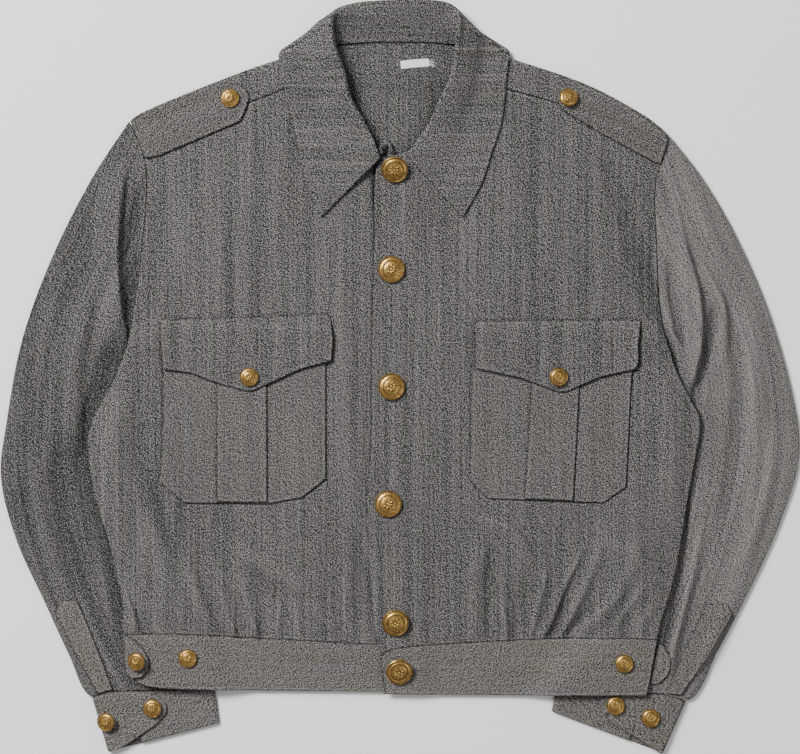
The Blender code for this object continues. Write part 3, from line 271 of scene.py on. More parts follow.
# Creases: points with the height there, the width towards -X and towards +X, and 1 where it is sharp
Crease = namedtuple("Crease", "points west east sharp")
FRONT_CREASES = {
    "right": [
        Crease([(-150, -242, 2.4), (-153, -236, 2.6), (-156, -229, 1.6), (-158, -222, 0)], 8, 2.2, 1),
        Crease([(-152, -240, 1.4), (-160, -219, 1.4), (-167, -189, 1.0), (-173, -161, 0)], 9, 8, 0),
        Crease([(-131, -243, 2.4), (-133, -236, 2.4), (-135, -228, 1.4), (-136, -221, 0)], 8, 2.2, 1),
        Crease([(-132, -241, 1.2), (-139, -217, 1.3), (-146, -193, 0.9), (-148, -166, 0)], 8, 9, 0),
        Crease([(-173, -237, 2.4), (-182, -215, 2.2), (-193, -184, 1.4), (-202, -156, 0)], 10, 7, 0),
        Crease([(-114, -243, 1.6), (-113, -224, 1.3), (-109, -198, 0)], 6, 6, 0),
        Crease([(-94, -245, 1), (-95, -221, 0.8), (-96, -198, 0)], 5, 5, 0),
        Crease([(-242, -239, 3), (-247, -219, 3.2), (-253, -202, 1.6), (-256, -189, 0)], 7, 2.5, 1),
        Crease([(-223, -239, 1.5), (-226, -221, 1.2), (-232, -198, 0)], 6, 6, 0),
        Crease([(-230, -94, -1), (-226, -114, -2.2), (-220, -135, -1.8), (-208, -159, -0.8), (-195, -176, 0)],
               11, 9, 0),
        Crease([(-232, -119, 0), (-226, -152, 1.4), (-218, -184, 1.2), (-212, -207, 0)], 15, 12, 0),
        Crease([(-156, -156, 0), (-137, -171, 1.2), (-114, -186, 1.4), (-92, -197, 0.8), (-76, -207, 0)],
               9, 12, 0),
        Crease([(-152, -172, 0), (-133, -185, -1), (-116, -200, -0.8), (-102, -209, 0)], 8, 8, 0),
        Crease([(-85, -207, 0), (-76, -219, 1), (-63, -234, 0.6)], 7, 7, 0),
        Crease([(-44, -133, 0), (-37, -161, -1.4), (-30, -193, -1.4), (-29, -226, -0.4)], 14, 8, 0),
        Crease([(-51, -170, 0), (-48, -207, 1), (-44, -245, 0.9)], 9, 9, 0),
        Crease([(-261, -12, 0), (-267, -49, 2.2), (-266, -86, 2.4), (-262, -133, 2), (-256, -170, 0)],
               18, 16, 0),
        Crease([(-239, 25, 0), (-241, -21, -1.4), (-239, -77, -1.8), (-234, -114, -1.2), (-232, -133, 0)],
               12, 12, 0),
        Crease([(-223, 174, 0), (-225, 127, -1.2), (-228, 72, -1.2), (-232, 44, 0)], 18, 14, 0),
        Crease([(-24, 200, -3.2), (-23.5, 172, -2.6), (-22, 150, -1.4), (-21, 132, 0)], 3, 3, 0),
        Crease([(-55, 118, 0), (-53, 44, 0.8), (-55, -40, 0.8), (-51, -114, 0)], 18, 18, 0),
        Crease([(-204, 183, 0), (-201, 127, 0.8), (-204, 62, 0)], 16, 16, 0),
    ],
    "left": [
        Crease([(100, -246, 3.2), (98, -232, 3), (95, -212, 2), (93, -189, 1), (93, -166, 0)], 2.4, 10, 1),
        Crease([(121, -243, 2), (127, -217, 1.6), (133, -193, 1.2), (138, -172, 0)], 3.5, 8, 0),
        Crease([(133, -242, 3), (142, -224, 3), (152, -198, 2.2), (165, -172, 1.2), (175, -152, 0)],
               7, 3.2, 1),
        Crease([(149, -241, 3), (160, -219, 2.8), (173, -193, 2), (183, -166, 1.4), (190, -142, 0)],
               4.5, 9, 0),
        Crease([(170, -240, 1.8), (186, -219, 2), (204, -198, 1.8), (214, -175, 1.2), (218, -152, 0)],
               10, 12, 0),
        Crease([(159, -233, -0.8), (175, -220, -1.3), (192, -207, -1), (205, -196, 0)], 6, 6, 0),
        Crease([(71, -131, 0), (86, -134, 1.6), (97, -137, 2.4), (107, -142, 2.8), (116, -152, 2.4),
                (121, -163, 1.2), (126, -176, 0)], 15, 3.0, 1),
        Crease([(66, -241, 1), (67, -207, 1), (69, -170, 0.9), (73, -144, 0)], 12, 16, 0),
        Crease([(82, -241, -0.6), (83, -207, -1.4), (85, -175, -1.6), (88, -156, 0)], 9, 7, 0),
        Crease([(185, 228, 0), (199, 188, -1.2), (214, 141, -1.8), (227, 95, -1.9), (235, 60, -0.8),
                (238, 44, 0)], 16, 13, 0),
        Crease([(229, 127, 0), (238, 81, -2), (244, 55, -2.4), (250, 34, -1.4), (253, 23, 0)], 8, 7, 0),
        Crease([(246, 14, 0), (250, -21, 1.8), (252, -68, 1.8), (250, -114, 1.6), (246, -152, 0)],
               18, 16, 0),
        Crease([(42, 165, 0), (45, 90, 0.8), (43, 16, 0.8), (45, -77, 0)], 20, 22, 0),
        Crease([(186, -133, 0), (198, -156, 0.8), (224, -170, 0.6), (238, -198, 0)], 12, 12, 0),
        Crease([(198, -240, 0.8), (207, -221, 1.1), (224, -198, 0.7), (233, -184, 0)], 6, 7, 0),
        Crease([(224, -241, 0.8), (228, -224, 1), (238, -207, 0)], 5, 6, 0),
        Crease([(112, -170, 0), (114, -193, -1), (112, -217, -1), (110, -241, -0.6)], 7, 7, 0),
    ],
}
SLEEVE_CREASES = {
    "right": [
        Crease([(-254, 202, 0), (-258, 174, 3.6), (-261, 141, 4.6), (-262, 107, 4.8), (-260, 76, 4.4),
                (-256, 48, 3.2), (-252, 25, 1.2), (-250, 14, 0)], 30, 3.0, 1),
        Crease([(-242, 183, 0), (-245, 151, -2.2), (-249, 109, -2.8), (-251, 72, -2.8), (-252, 39, -1.6),
                (-251, 25, 0)], 9, 9, 0),
        Crease([(-257, 95, 0), (-252, 107, 1.5), (-247, 121, 1.8), (-242, 135, 0)], 2.4, 2.4, 0),
        Crease([(-256, 75, 0), (-252, 86, 1.3), (-246, 98, 1.2), (-243, 105, 0)], 2.2, 2.2, 0),
        Crease([(-282, 100, 0), (-288, 72, 1.4), (-295, 39, 2.4), (-300, 11, 2.8), (-302, -17, 2.4),
                (-301, -49, 1.4), (-298, -73, 0)], 17, 11, 0),
        Crease([(-267, 44, 0), (-271, 23, -1.4), (-280, -7, -2.6), (-290, -35, -2.4), (-293, -59, -1.6),
                (-297, -86, 0)], 9, 13, 0),
        Crease([(-248, 23, 0), (-256, 10, 2.2), (-266, -7, 2.2), (-271, -31, 1.2), (-275, -49, 0)],
               11, 5, 0),
        Crease([(-267, 202, 0), (-271, 174, 1.2), (-277, 141, 1.4), (-280, 113, 0)], 11, 13, 0),
        Crease([(-316, -49, 0), (-318, -86, -1.8), (-312, -133, -2.2), (-301, -179, -2), (-290, -217, 0)],
               12, 14, 0),
        Crease([(-334, -59, 0), (-336, -105, 1.8), (-327, -152, 2), (-310, -198, 1.8), (-297, -226, 0)],
               14, 12, 0),
        Crease([(-351, -86, 0), (-347, -124, -1.2), (-336, -161, -1.2), (-323, -198, 0)], 8, 8, 0),
        Crease([(-293, -59, 0), (-292, -96, 1.2), (-282, -152, 1.8), (-271, -207, 1.8), (-264, -245, 1),
                (-258, -272, 0)], 8, 12, 0),
        Crease([(-316, 118, 0), (-325, 72, 1), (-332, 25, 1), (-340, -31, 0)], 14, 16, 0),
    ],
    "left": [
        Crease([(253, 174, 0), (261, 141, 1.6), (270, 107, 3), (277, 81, 4.2), (280, 53, 4.6), (279, 25, 4.4),
                (274, 2, 2.8), (270, -14, 0)], 15, 3.4, 1),
        Crease([(257, 135, 0), (262, 107, 1.8), (265, 81, 2.6), (266, 53, 3), (267, 25, 3), (268, -1, 1.4),
                (268, -12, 0)], 2.6, 11, 1),
        Crease([(294, 72, 0), (292, 55, -2), (287, 30, -3), (280, 2, -3), (275, -21, -2.6), (270, -59, -2),
                (266, -96, 0)], 7, 8, 0),
        Crease([(279, 113, 0), (285, 95, 1.6), (293, 83, 3), (299, 70, 3.6), (302, 53, 3.2), (302, 30, 2),
                (300, 7, 0)], 12, 7, 0),
        Crease([(250, 118, 0), (253, 81, -2), (257, 58, -2.6), (261, 39, -2.4), (265, 23, 0)], 6, 7, 0),
        Crease([(244, 51, 0), (251, 44, 1.6), (259, 33, 1.8), (266, 23, 0)], 2.2, 2.2, 0),
        Crease([(319, 81, 0), (328, 34, 1.6), (332, -21, 1.8), (328, -77, 1.2), (320, -124, 0)], 16, 14, 0),
        Crease([(311, 44, 0), (315, -3, -1.6), (313, -59, -1.8), (304, -114, -1.4), (294, -152, 0)],
               11, 13, 0),
        Crease([(281, -133, 0), (274, -170, 2.2), (265, -207, 3), (255, -245, 2.8), (250, -272, 1.6),
                (246, -291, 0)], 4.0, 9, 0),
        Crease([(268, -86, 0), (265, -133, -1.6), (261, -179, -2.6), (253, -226, -2.8), (246, -259, -1.6),
                (242, -282, 0)], 6, 6, 0),
        Crease([(307, -207, 0), (291, -245, 1.4), (279, -268, 1.2), (270, -291, 0)], 9, 9, 0),
        Crease([(261, 211, 0), (279, 165, 1.2), (294, 118, 1), (302, 90, 0)], 12, 14, 0),
        Crease([(346, -40, 0), (345, -86, 1.4), (331, -142, 1.4), (312, -189, 0)], 10, 10, 0),
    ],
}

# Buttons: where each is sewn, its size, and how far it tips (degrees, and the direction it leans to)
Button = namedtuple("Button", "name x y radius on tip towards")
BUTTONS = [
    Button("button_front_1", -5, 194, BIG_BUTTON, "over", 18, -90),
    Button("button_front_2", -8, 100, BIG_BUTTON, "over", 0, 0),
    Button("button_front_3", -8, -9, BIG_BUTTON, "over", 3, 0),
    Button("button_front_4", -11, -118, BIG_BUTTON, "over", 0, 0),
    Button("button_front_5", -4, -228, BIG_BUTTON, "over", 8, -90),
    Button("button_waist_centre", -1, -272, BIG_BUTTON, "band", 18, -80),
    Button("button_pocket_right", -140, 0, SMALL_BUTTON, "flap", 0, 0),
    Button("button_pocket_left", 147, 0, SMALL_BUTTON, "flap", 8, 0),
    Button("button_epaulette_right", -158, 259, SMALL_BUTTON, "epaulette", 0, 0),
    Button("button_epaulette_left", 156, 259, SMALL_BUTTON, "epaulette", 14, 60),
    Button("button_waist_tab", -243, -263, SMALL_BUTTON, "tab", 20, 200),
    Button("button_waist_right", -197, -261, SMALL_BUTTON, "band", 0, 0),
    Button("button_waist_left", 208, -266, SMALL_BUTTON, "band", 0, 0),
    Button("button_cuff_right_1", -272, -320, SMALL_BUTTON, "cuff", 18, 200),
    Button("button_cuff_right_2", -230, -308, SMALL_BUTTON, "cuff", 6, 200),
    Button("button_cuff_left_1", 200.4, -305.4, SMALL_BUTTON, "cuff", 0, 0),
    Button("button_cuff_left_2", 233, -317, SMALL_BUTTON, "cuff", 0, 0),
]

# What each cloth piece was cut to, in metres: the width and length it needs, and its area
Cut = namedtuple("Cut", "width length area")


def ease(value, start, full):
    """0 before start, 1 after full, and a smooth step between them, in either direction."""
    t = np.clip((np.asarray(value, float) - start) / (full - start), 0.0, 1.0)
    return t * t * (3 - 2 * t)


def bell(distance, middle, width):
    """1 where a distance has its middle value, falling to 0 over a width on both sides."""
    return np.exp(-((distance - middle) / width) ** 2)


def resample(line, step):
    """The same line with points an equal distance apart, about one step, ends kept."""
    line = np.asarray(line, float)
    lengths = np.concatenate([[0], np.cumsum(np.linalg.norm(np.diff(line, axis=0), axis=1))])
    count = max(1, round(lengths[-1] / step))
    wanted = np.linspace(0, lengths[-1], count + 1)
    return np.stack([np.interp(wanted, lengths, line[:, k]) for k in range(line.shape[1])], axis=1)


def blend(rows, places):
    """Smooth values between the rows of a table, at places counted in rows."""
    rows = np.asarray(rows, float)
    last = len(rows) - 1
    i = np.minimum(np.asarray(places, float).astype(int), last - 1)
    t = (np.asarray(places) - i).reshape((-1,) + (1,) * (rows.ndim - 1))
    a, b = rows[np.maximum(i - 1, 0)], rows[i]
    c, d = rows[i + 1], rows[np.minimum(i + 2, last)]
    return 0.5 * (2 * b + (c - a) * t + (2 * a - 5 * b + 4 * c - d) * t ** 2
                  + (3 * b - a - 3 * c + d) * t ** 3)


def curve(points, step):
    """A smooth line through the points, in short even steps."""
    dense = blend(points, np.linspace(0, len(points) - 1, 16 * len(points)))
    return resample(dense, step)


def outline(*lines):
    """One closed loop from lines that follow on, each turned round where it has to be."""
    loop = np.asarray(lines[0])
    for line in lines[1:]:
        line = np.asarray(line)
        if np.linalg.norm(loop[-1] - line[0]) > np.linalg.norm(loop[-1] - line[-1]):
            line = line[::-1]
        loop = np.vstack([loop, line[1:]])
    if np.linalg.norm(loop[0] - loop[-1]) < 0.01:
        loop = loop[:-1]
    return loop


def cornered(corners, step, round_by=0.0):
    """A closed loop with straight edges, cut into short steps, its corners cut off a little."""
    corners = np.asarray(corners, float)
    count = len(corners)
    found = []
    for k in range(count):
        here = corners[k]
        towards_back = corners[k - 1] - here
        towards_next = corners[(k + 1) % count] - here
        cut = min(round_by, 0.3 * np.linalg.norm(towards_back), 0.3 * np.linalg.norm(towards_next))
        start = here + towards_back / np.linalg.norm(towards_back) * cut
        stop = here + towards_next / np.linalg.norm(towards_next) * cut
        if cut > 0:
            arc = [start * (1 - t) ** 2 + 2 * here * t * (1 - t) + stop * t * t for t in (0, 0.33, 0.67, 1)]
            found.append(np.array(arc))
        else:
            found.append(np.array([here]))
    loop = []
    for k in range(count):
        loop.append(found[k])
        a, b = found[k][-1], found[(k + 1) % count][0]
        loop.append(resample([a, b], step)[1:-1])
    return np.vstack([part for part in loop if len(part)])


def inset(loop, distance):
    """The loop drawn in by a distance all round, counter-clockwise."""
    loop = np.asarray(loop, float)
    following = np.roll(loop, -1, axis=0)
    if (loop[:, 0] * following[:, 1] - following[:, 0] * loop[:, 1]).sum() < 0:
        loop = loop[::-1]
    into = loop - np.roll(loop, 1, axis=0)
    out = np.roll(loop, -1, axis=0) - loop
    into /= np.linalg.norm(into, axis=1)[:, None]
    out /= np.linalg.norm(out, axis=1)[:, None]
    normal = np.stack([-into[:, 1] - out[:, 1], into[:, 0] + out[:, 0]], axis=1)
    normal /= np.maximum(0.5, (normal ** 2).sum(axis=1) / 2)[:, None]
    return loop + normal * distance


def run_length(line):
    """The length of an open line."""
    return np.linalg.norm(np.diff(np.asarray(line, float), axis=0), axis=1).sum()


def distance_to(x, y, line, closed=False):
    """How far points are from a row of points."""
    line = np.asarray(line, float)
    if closed:
        line = np.vstack([line, line[:1]])
    best = np.full(np.shape(x), 1e9)
    for a, b in zip(line, line[1:]):
        d = b - a
        t = np.clip(((x - a[0]) * d[0] + (y - a[1]) * d[1]) / max(d @ d, 1e-9), 0, 1)
        best = np.minimum(best, np.hypot(x - a[0] - t * d[0], y - a[1] - t * d[1]))
    return best


def inside(x, y, loop):
    """True where points lie within a closed loop."""
    found = np.zeros(np.shape(x), bool)
    for (ax, ay), (bx, by) in zip(loop, np.roll(loop, -1, axis=0)):
        if ay != by:
            found ^= ((ay > y) != (by > y)) & (x < (bx - ax) * (y - ay) / (by - ay) + ax)
    return found


def crease_line(crease):
    """A crease's ridge as a smooth line with heights, and 1 where it runs up the garment, -1 down."""
    count = len(crease.points)
    line = blend(crease.points, np.linspace(0, count - 1, 5 * count))
    return line, -1 if line[-1][1] < line[0][1] else 1


def crease_height(x, y, creases):
    """The height that creases and troughs add at points."""
    total = np.zeros(np.shape(x))
    for crease in creases:
        line, flip = crease_line(crease)
        reach = max(crease.west, crease.east)
        near = ((x > line[:, 0].min() - reach) & (x < line[:, 0].max() + reach)
                & (y > line[:, 1].min() - reach) & (y < line[:, 1].max() + reach))
        if not near.any():
            continue
        px, py = x[near], y[near]
        best = np.full(px.shape, 1e9)
        height = np.zeros(px.shape)
        side = np.zeros(px.shape)
        for a, b in zip(line, line[1:]):
            dx, dy = b[0] - a[0], b[1] - a[1]
            t = np.clip(((px - a[0]) * dx + (py - a[1]) * dy) / (dx * dx + dy * dy), 0, 1)
            d = np.hypot(px - a[0] - t * dx, py - a[1] - t * dy)
            closer = d < best
            best[closer] = d[closer]
            height[closer] = (a[2] + (b[2] - a[2]) * t)[closer]
            side[closer] = (((py - a[1]) * dx - (px - a[0]) * dy) * flip)[closer]
        reach = np.where(side > 0, crease.west, crease.east)
        t = np.clip(best / reach, 0, 1)
        soft = 0.5 + 0.5 * np.cos(np.pi * t)
        if crease.sharp:
            soft = np.where(reach < 5, soft, (1 - t) ** 1.7 * (1 + 0.7 * t))
        total[near] += height * soft
    return total


def crease_points(creases):
    """Extra mesh points along the sharp creases, across their steep side."""
    found = []
    for crease in creases:
        if min(crease.west, crease.east) > 5:
            continue
        line, flip = crease_line(crease)
        line = resample(line, 2.2)
        along = np.gradient(line[:, :2], axis=0)
        along /= np.linalg.norm(along, axis=1)[:, None]
        west = np.stack([-along[:, 1], along[:, 0]], axis=1) * flip
        for share in (-1.0, -0.5, 0.0, 0.5, 1.0):
            width = min(crease.west if share > 0 else crease.east, 3.4)
            found.append(line[:, :2] + west * share * width)
    return np.vstack(found) if found else np.zeros((0, 2))


def ripple(x, y, size, seed):
    """A soft, uneven swell of about the given size, between -1 and 1."""
    chance = np.random.default_rng(seed)
    total = 0
    for _ in range(8):
        angle = chance.uniform(0, math.pi)
        wave = size * chance.uniform(0.7, 1.6)
        shift = chance.uniform(0, 2 * math.pi)
        total = total + np.sin((x * math.cos(angle) + y * math.sin(angle)) * 2 * math.pi / wave + shift)
    return total / 4


def sign_of(side):
    """-1 on the wearer's right, 1 on the left."""
    return -1 if side == "right" else 1


def at_height(line, y):
    """Where a line that runs down the garment crosses a height."""
    line = np.asarray(line, float)
    return np.interp(-np.asarray(y, float), -line[:, 1], line[:, 0])


def line_height(line, x):
    """The height at which a line that runs across the garment passes x."""
    line = np.asarray(sorted(line), float)
    return np.interp(x, line[:, 0], line[:, 1])


SLEEVE_INNER = {side: [(row.inner_x, row.inner_y) for row in rows] for side, rows in SLEEVE.items()}
ARMPIT_Y = {side: rows[0].inner_y for side, rows in SLEEVE.items()}


def middle_line(side):
    """The line down the middle of a sleeve, which its warp follows."""
    rows = [((row.inner_x + row.outer_x) / 2, (row.inner_y + row.outer_y) / 2) for row in SLEEVE[side]]
    crown = (rows[0][0] - sign_of(side) * 34, rows[0][1] + 100)
    return blend([crown] + rows, np.linspace(0, len(rows), 60))


MIDDLE_LINE = {side: middle_line(side) for side in SLEEVE}


def both_sides(x, value):
    """Takes a value from the side that each point belongs to."""
    return np.where(np.asarray(x) < 0, value("right"), value("left"))


def sleeve_cover(x, y):
    """1 where the body lies over a sleeve, falling to 0 towards its middle."""
    def cover(side):
        return 1 - ease(sign_of(side) * (at_height(SLEEVE_INNER[side], y) - x), 6, 50)
    return both_sides(x, cover)


def armpit(x):
    """The height of the armpit on each point's side."""
    return both_sides(x, lambda side: ARMPIT_Y[side])


def back_under(x, y):
    """The underside of the layer that lies on the floor, or on a sleeve or the collar."""
    below = ease(y, armpit(x), FREE_SLEEVE_Y)
    under_collar = ease(y, 258, 284) * (1 - ease(abs(x + 5), 112, 150))
    return SLEEVE_LIFT * below * sleeve_cover(x, y) + COLLAR_LIFT * under_collar


def loft(x, y):
    """The air between front and back: little along the shoulder and side folds, more inside."""
    shoulder = both_sides(x, lambda side: ease(distance_to(x, y, SHOULDER[side]), 0, EDGE_RAMP))
    low = armpit(x)
    below_arm = ease((low + 10 - y) / 50, 0, 1)
    flank = both_sides(x, lambda side: ease(abs(at_height(SIDE[side], y)) - abs(x), 0, EDGE_RAMP))
    flank = 1 - below_arm * (1 - flank)
    waist = 0.45 + 0.55 * ease(y, -240, -190)
    return FOLD_LOFT + (LOFT - FOLD_LOFT) * shoulder * flank * waist


def upper_under(x, y):
    """The underside of the upper layer, without folds: fronts, yoke and their neighbours."""
    low = armpit(x)
    rising = ease((low + 24 - y) / 26, 0, 1)
    over_sleeve = rising * (1 - ease(y, low, FREE_SLEEVE_Y))
    return (back_under(x, y) + CLOTH + LAY_GAP + loft(x, y)
            + SLEEVE_LIFT * over_sleeve * sleeve_cover(x, y))


def centre_lap(x, wall):
    """The step up where the left front passes over the right front."""
    return (wall + LAP_GAP) * np.clip(2 - np.asarray(x) / LAP_RAMP, 0, 1)


def front_under(side):
    """The underside of one front, with its creases and a slight unevenness."""
    def height(x, y):
        x, y = np.asarray(x, float), np.asarray(y, float)
        plain = upper_under(x, y)
        if side == "left":
            plain = plain + centre_lap(x, CLOTH)
        calm = ease(abs(x + 5), 18, 60) * ease(y, 250, 200)
        folds = CREASE_LIFT * crease_height(x, y, FRONT_CREASES[side]) + 0.45 * ripple(x, y, 95, 11) * calm
        folds = folds * (0.45 + 0.55 * ease(y - line_height(WAIST[side], x), 1, 9))
        least = back_under(x, y) + CLOTH + 0.3
        return np.maximum(plain + folds, least)
    return height


def sleeve_folds(side, x, y):
    """The sleeve's creases, which die out where the body presses on it."""
    free = ease(abs(x) - abs(at_height(SIDE[side], y)), 2, 16)
    armpit_y = ARMPIT_Y[side]
    free = np.maximum(free, ease(y, armpit_y - 16, armpit_y + 10))
    folds = SLEEVE_LOOSE * crease_height(x, y, SLEEVE_CREASES[side]) + 0.5 * ripple(x, y, 80, 21)
    return np.maximum(np.where(folds > 0, folds * free, folds), -2.9)


def flat_pieces(loop, spacing, rings, extra):
    """Points and triangles that fill an outline: rows along its edge, then an even lattice."""
    points = [loop]
    reach = 0.0
    for offset in rings:
        row = inset(loop, offset)
        far = distance_to(row[:, 0], row[:, 1], loop, closed=True)
        keep = (far > 0.9 * offset) & inside(row[:, 0], row[:, 1], loop)
        points.append(row[keep])
        reach = offset
    if len(extra):
        far = distance_to(extra[:, 0], extra[:, 1], loop, closed=True)
        extra = extra[inside(extra[:, 0], extra[:, 1], loop) & (far > reach + 0.5)]
        thinned = []
        cells = set()
        for p in extra:
            cell = (round(p[0] / 0.9), round(p[1] / 0.9))
            if cell not in cells:
                cells.add(cell)
                thinned.append(p)
        extra = np.array(thinned).reshape(-1, 2)
    low, high = loop.min(axis=0), loop.max(axis=0)
    rows = np.arange(low[1], high[1], spacing * 0.87)
    columns = np.arange(low[0], high[0], spacing)
    grid_x, grid_y = np.meshgrid(columns, rows)
    grid_x = grid_x + (np.arange(len(rows)) % 2)[:, None] * spacing / 2
    grid_x, grid_y = grid_x.ravel(), grid_y.ravel()
    keep = inside(grid_x, grid_y, loop)
    grid_x, grid_y = grid_x[keep], grid_y[keep]
    far = distance_to(grid_x, grid_y, loop, closed=True)
    keep = far > reach + 0.45 * spacing
    lattice = np.stack([grid_x[keep], grid_y[keep]], axis=1)
    if len(extra):
        cells = {(round(p[0] / spacing), round(p[1] / spacing)) for p in extra}
        lattice = np.array([p for p in lattice
                            if (round(p[0] / spacing), round(p[1] / spacing)) not in cells])
        points.append(extra)
    points.append(lattice)
    flat = [Vector(p) for p in np.vstack([part for part in points if len(part)])]
    count = len(loop)
    edges = [(i, (i + 1) % count) for i in range(count)]
    verts, _, faces, *_ = delaunay_2d_cdt(flat, edges, [], 1, 1e-4)
    verts = np.array([tuple(v) for v in verts])
    faces = np.array([f for f in faces if len(f) == 3])
    centres = verts[faces].mean(axis=1)
    faces = faces[inside(centres[:, 0], centres[:, 1], loop)]
    a, b, c = verts[faces[:, 0]], verts[faces[:, 1]], verts[faces[:, 2]]
    turned = (b[:, 0] - a[:, 0]) * (c[:, 1] - a[:, 1]) - (c[:, 0] - a[:, 0]) * (b[:, 1] - a[:, 1]) < 0
    faces[turned] = faces[turned][:, ::-1]
    return verts, faces


def make_piece(name, verts, faces, uv, edge, material, press=None, fold=None):
    """A finished piece from its points in millimetres, its cloth coordinates and two distances.

    edge is how far each point is from the piece's own edge, press how far from a piece that lies
    on it, and fold how high its crease stands, set lower where more painted shade is wanted. edge
    also drives worn, lighter edges; all three drive painted shade in the cloth, and a high fold a
    painted highlight.
    """
    mesh = bpy.data.meshes.new(name)
    mesh.from_pydata((np.asarray(verts) * MM).tolist(), [], [list(map(int, f)) for f in faces])
    corner = np.zeros(len(mesh.loops), np.int32)
    mesh.loops.foreach_get("vertex_index", corner)
    layer = mesh.uv_layers.new(name="cloth")
    layer.data.foreach_set("uv", (np.asarray(uv)[corner] * MM).astype(np.float32).ravel())
    near = mesh.attributes.new("edge", "FLOAT", "POINT")
    near.data.foreach_set("value", np.asarray(edge, np.float32))
    pressed = mesh.attributes.new("press", "FLOAT", "POINT")
    press = np.full(len(verts), 50.0) if press is None else press
    pressed.data.foreach_set("value", np.asarray(press, np.float32))
    folded = mesh.attributes.new("fold", "FLOAT", "POINT")
    fold = np.zeros(len(verts)) if fold is None else fold
    folded.data.foreach_set("value", np.asarray(fold, np.float32))
    mesh.shade_smooth()
    mesh.validate()
    mesh.materials.append(material)
    piece = bpy.data.objects.new(name, mesh)
    bpy.context.scene.collection.objects.link(piece)
    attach(piece, "root")
    return piece


def lay_cloth(node, loop, under, material, wall=CLOTH, spacing=3.0, extra=(), grain=0.0, stitch=0.0,
              rounding=0.9, shift=(0.0, 0.0), pucker=0.12, seed=3, covers=(), fold=None):
    """A flat-cut piece laid at a height: rounded edges, a groove under its stitching, and puckers.

    covers are the outlines of pieces that lie on it; the cloth is pressed down along them and gets painted
    shade in a narrow band beside them.
    """
    loop = inset(loop, CUT_BACK)
    covers = [inset(cover, CUT_BACK) for cover in covers]
    rows = [inset(cover, -out) for cover in covers for out in (-1.0, 0.3, 1.0, 2.2)]
    extra = np.vstack([np.zeros((0, 2))] + [np.asarray(extra).reshape(-1, 2)] + rows)
    rings = [0.35, 0.9, 1.8]
    if stitch:
        rings += [stitch - 0.9, stitch, stitch + 0.9]
    flat, faces = flat_pieces(loop, spacing, rings, extra)
    x, y = flat[:, 0], flat[:, 1]
    edge = distance_to(x, y, loop, closed=True)
    base = under(x, y)
    press = np.full(len(x), 50.0)
    for cover in covers:
        below = inside(x, y, cover)
        far = distance_to(x, y, cover, closed=True)
        press = np.minimum(press, np.where(below, 0.0, far))
        base = base - PRESS_DEPTH * np.where(below, bell(far, 0, 2.5), bell(far, 0.5, 1.0))
    t = np.clip(edge / rounding, 0, 1)
    full = 0.30 + 0.70 * np.sqrt(1 - (1 - t) ** 2)
    swell = pucker * ripple(x, y, 11, seed) * (1 - ease(edge, 3, 16)) * t
    groove = 0.0
    if stitch:
        groove = 0.28 * bell(edge, stitch, 1.0)
        swell = swell + 0.10 * ripple(x, y, 6.5, seed + 1) * bell(edge, stitch / 2, stitch) * t
    middle = base + wall / 2
    upper = middle + wall / 2 * full - groove + swell
    lower = middle - wall / 2 * full
    count = len(flat)
    verts = np.vstack([np.column_stack([x, y, upper]), np.column_stack([x, y, lower])])
    directed = {(int(f[k]), int(f[(k + 1) % 3])) for f in faces for k in range(3)}
    rim = [(a, b) for a, b in directed if (b, a) not in directed]
    walls = [(a, a + count, b + count, b) for a, b in sorted(rim)]
    all_faces = [tuple(f) for f in faces] + [tuple(int(i) + count for i in f[::-1]) for f in faces] + walls
    turn = math.radians(grain)
    uv = np.column_stack([x * math.cos(turn) + y * math.sin(turn), y * math.cos(turn) - x * math.sin(turn)])
    uv = uv + np.asarray(shift)
    rise = np.zeros(len(x)) if fold is None else fold(x, y)
    return make_piece(node + "_cloth", verts, all_faces, np.vstack([uv, uv]), np.concatenate([edge, edge]),
                      material, np.concatenate([press, press]), np.concatenate([rise, rise]))


def shell(name, grid, wall, uv, edge, material, rounding=1.0):
    """A piece from a grid of points of its middle surface, thickened to both sides, its rim closed."""
    rows, columns, _ = grid.shape
    along = np.gradient(grid, axis=0)
    across = np.gradient(grid, axis=1)
    normal = np.cross(along, across)
    normal /= np.maximum(np.linalg.norm(normal, axis=2), 1e-9)[:, :, None]
    t = np.clip(edge / rounding, 0, 1)
    half = wall / 2 * (0.30 + 0.70 * np.sqrt(1 - (1 - t) ** 2))[:, :, None]
    outer = (grid + normal * half).reshape(-1, 3)
    inner = (grid - normal * half).reshape(-1, 3)
    count = rows * columns
    index = np.arange(count).reshape(rows, columns)
    a, b = index[:-1, :-1].ravel(), index[1:, :-1].ravel()
    c, d = index[1:, 1:].ravel(), index[:-1, 1:].ravel()
    faces = list(zip(a, b, c, d)) + list(zip(d + count, c + count, b + count, a + count))
    border = list(index[0, :]) + list(index[1:, -1]) + list(index[-1, -2::-1]) + list(index[-2:0:-1, 0])
    for p, q in zip(border, border[1:] + border[:1]):
        faces.append((p, q, q + count, p + count))
    uv = uv.reshape(-1, 2)
    edge = edge.ravel()
    return make_piece(name, np.vstack([outer, inner]), faces, np.vstack([uv, uv]),
                      np.concatenate([edge, edge]), material)


def grid_measures(grid):
    """Distances over a grid from its four sides, and cloth coordinates along and across it."""
    along = np.linalg.norm(np.diff(grid, axis=0), axis=2)
    across = np.linalg.norm(np.diff(grid, axis=1), axis=2)
    v = np.vstack([np.zeros((1, grid.shape[1])), np.cumsum(along, axis=0)])
    u = np.hstack([np.zeros((grid.shape[0], 1)), np.cumsum(across, axis=1)])
    edge = np.minimum(np.minimum(u, u[:, -1:] - u), np.minimum(v, v[-1:] - v))
    return u, v, edge


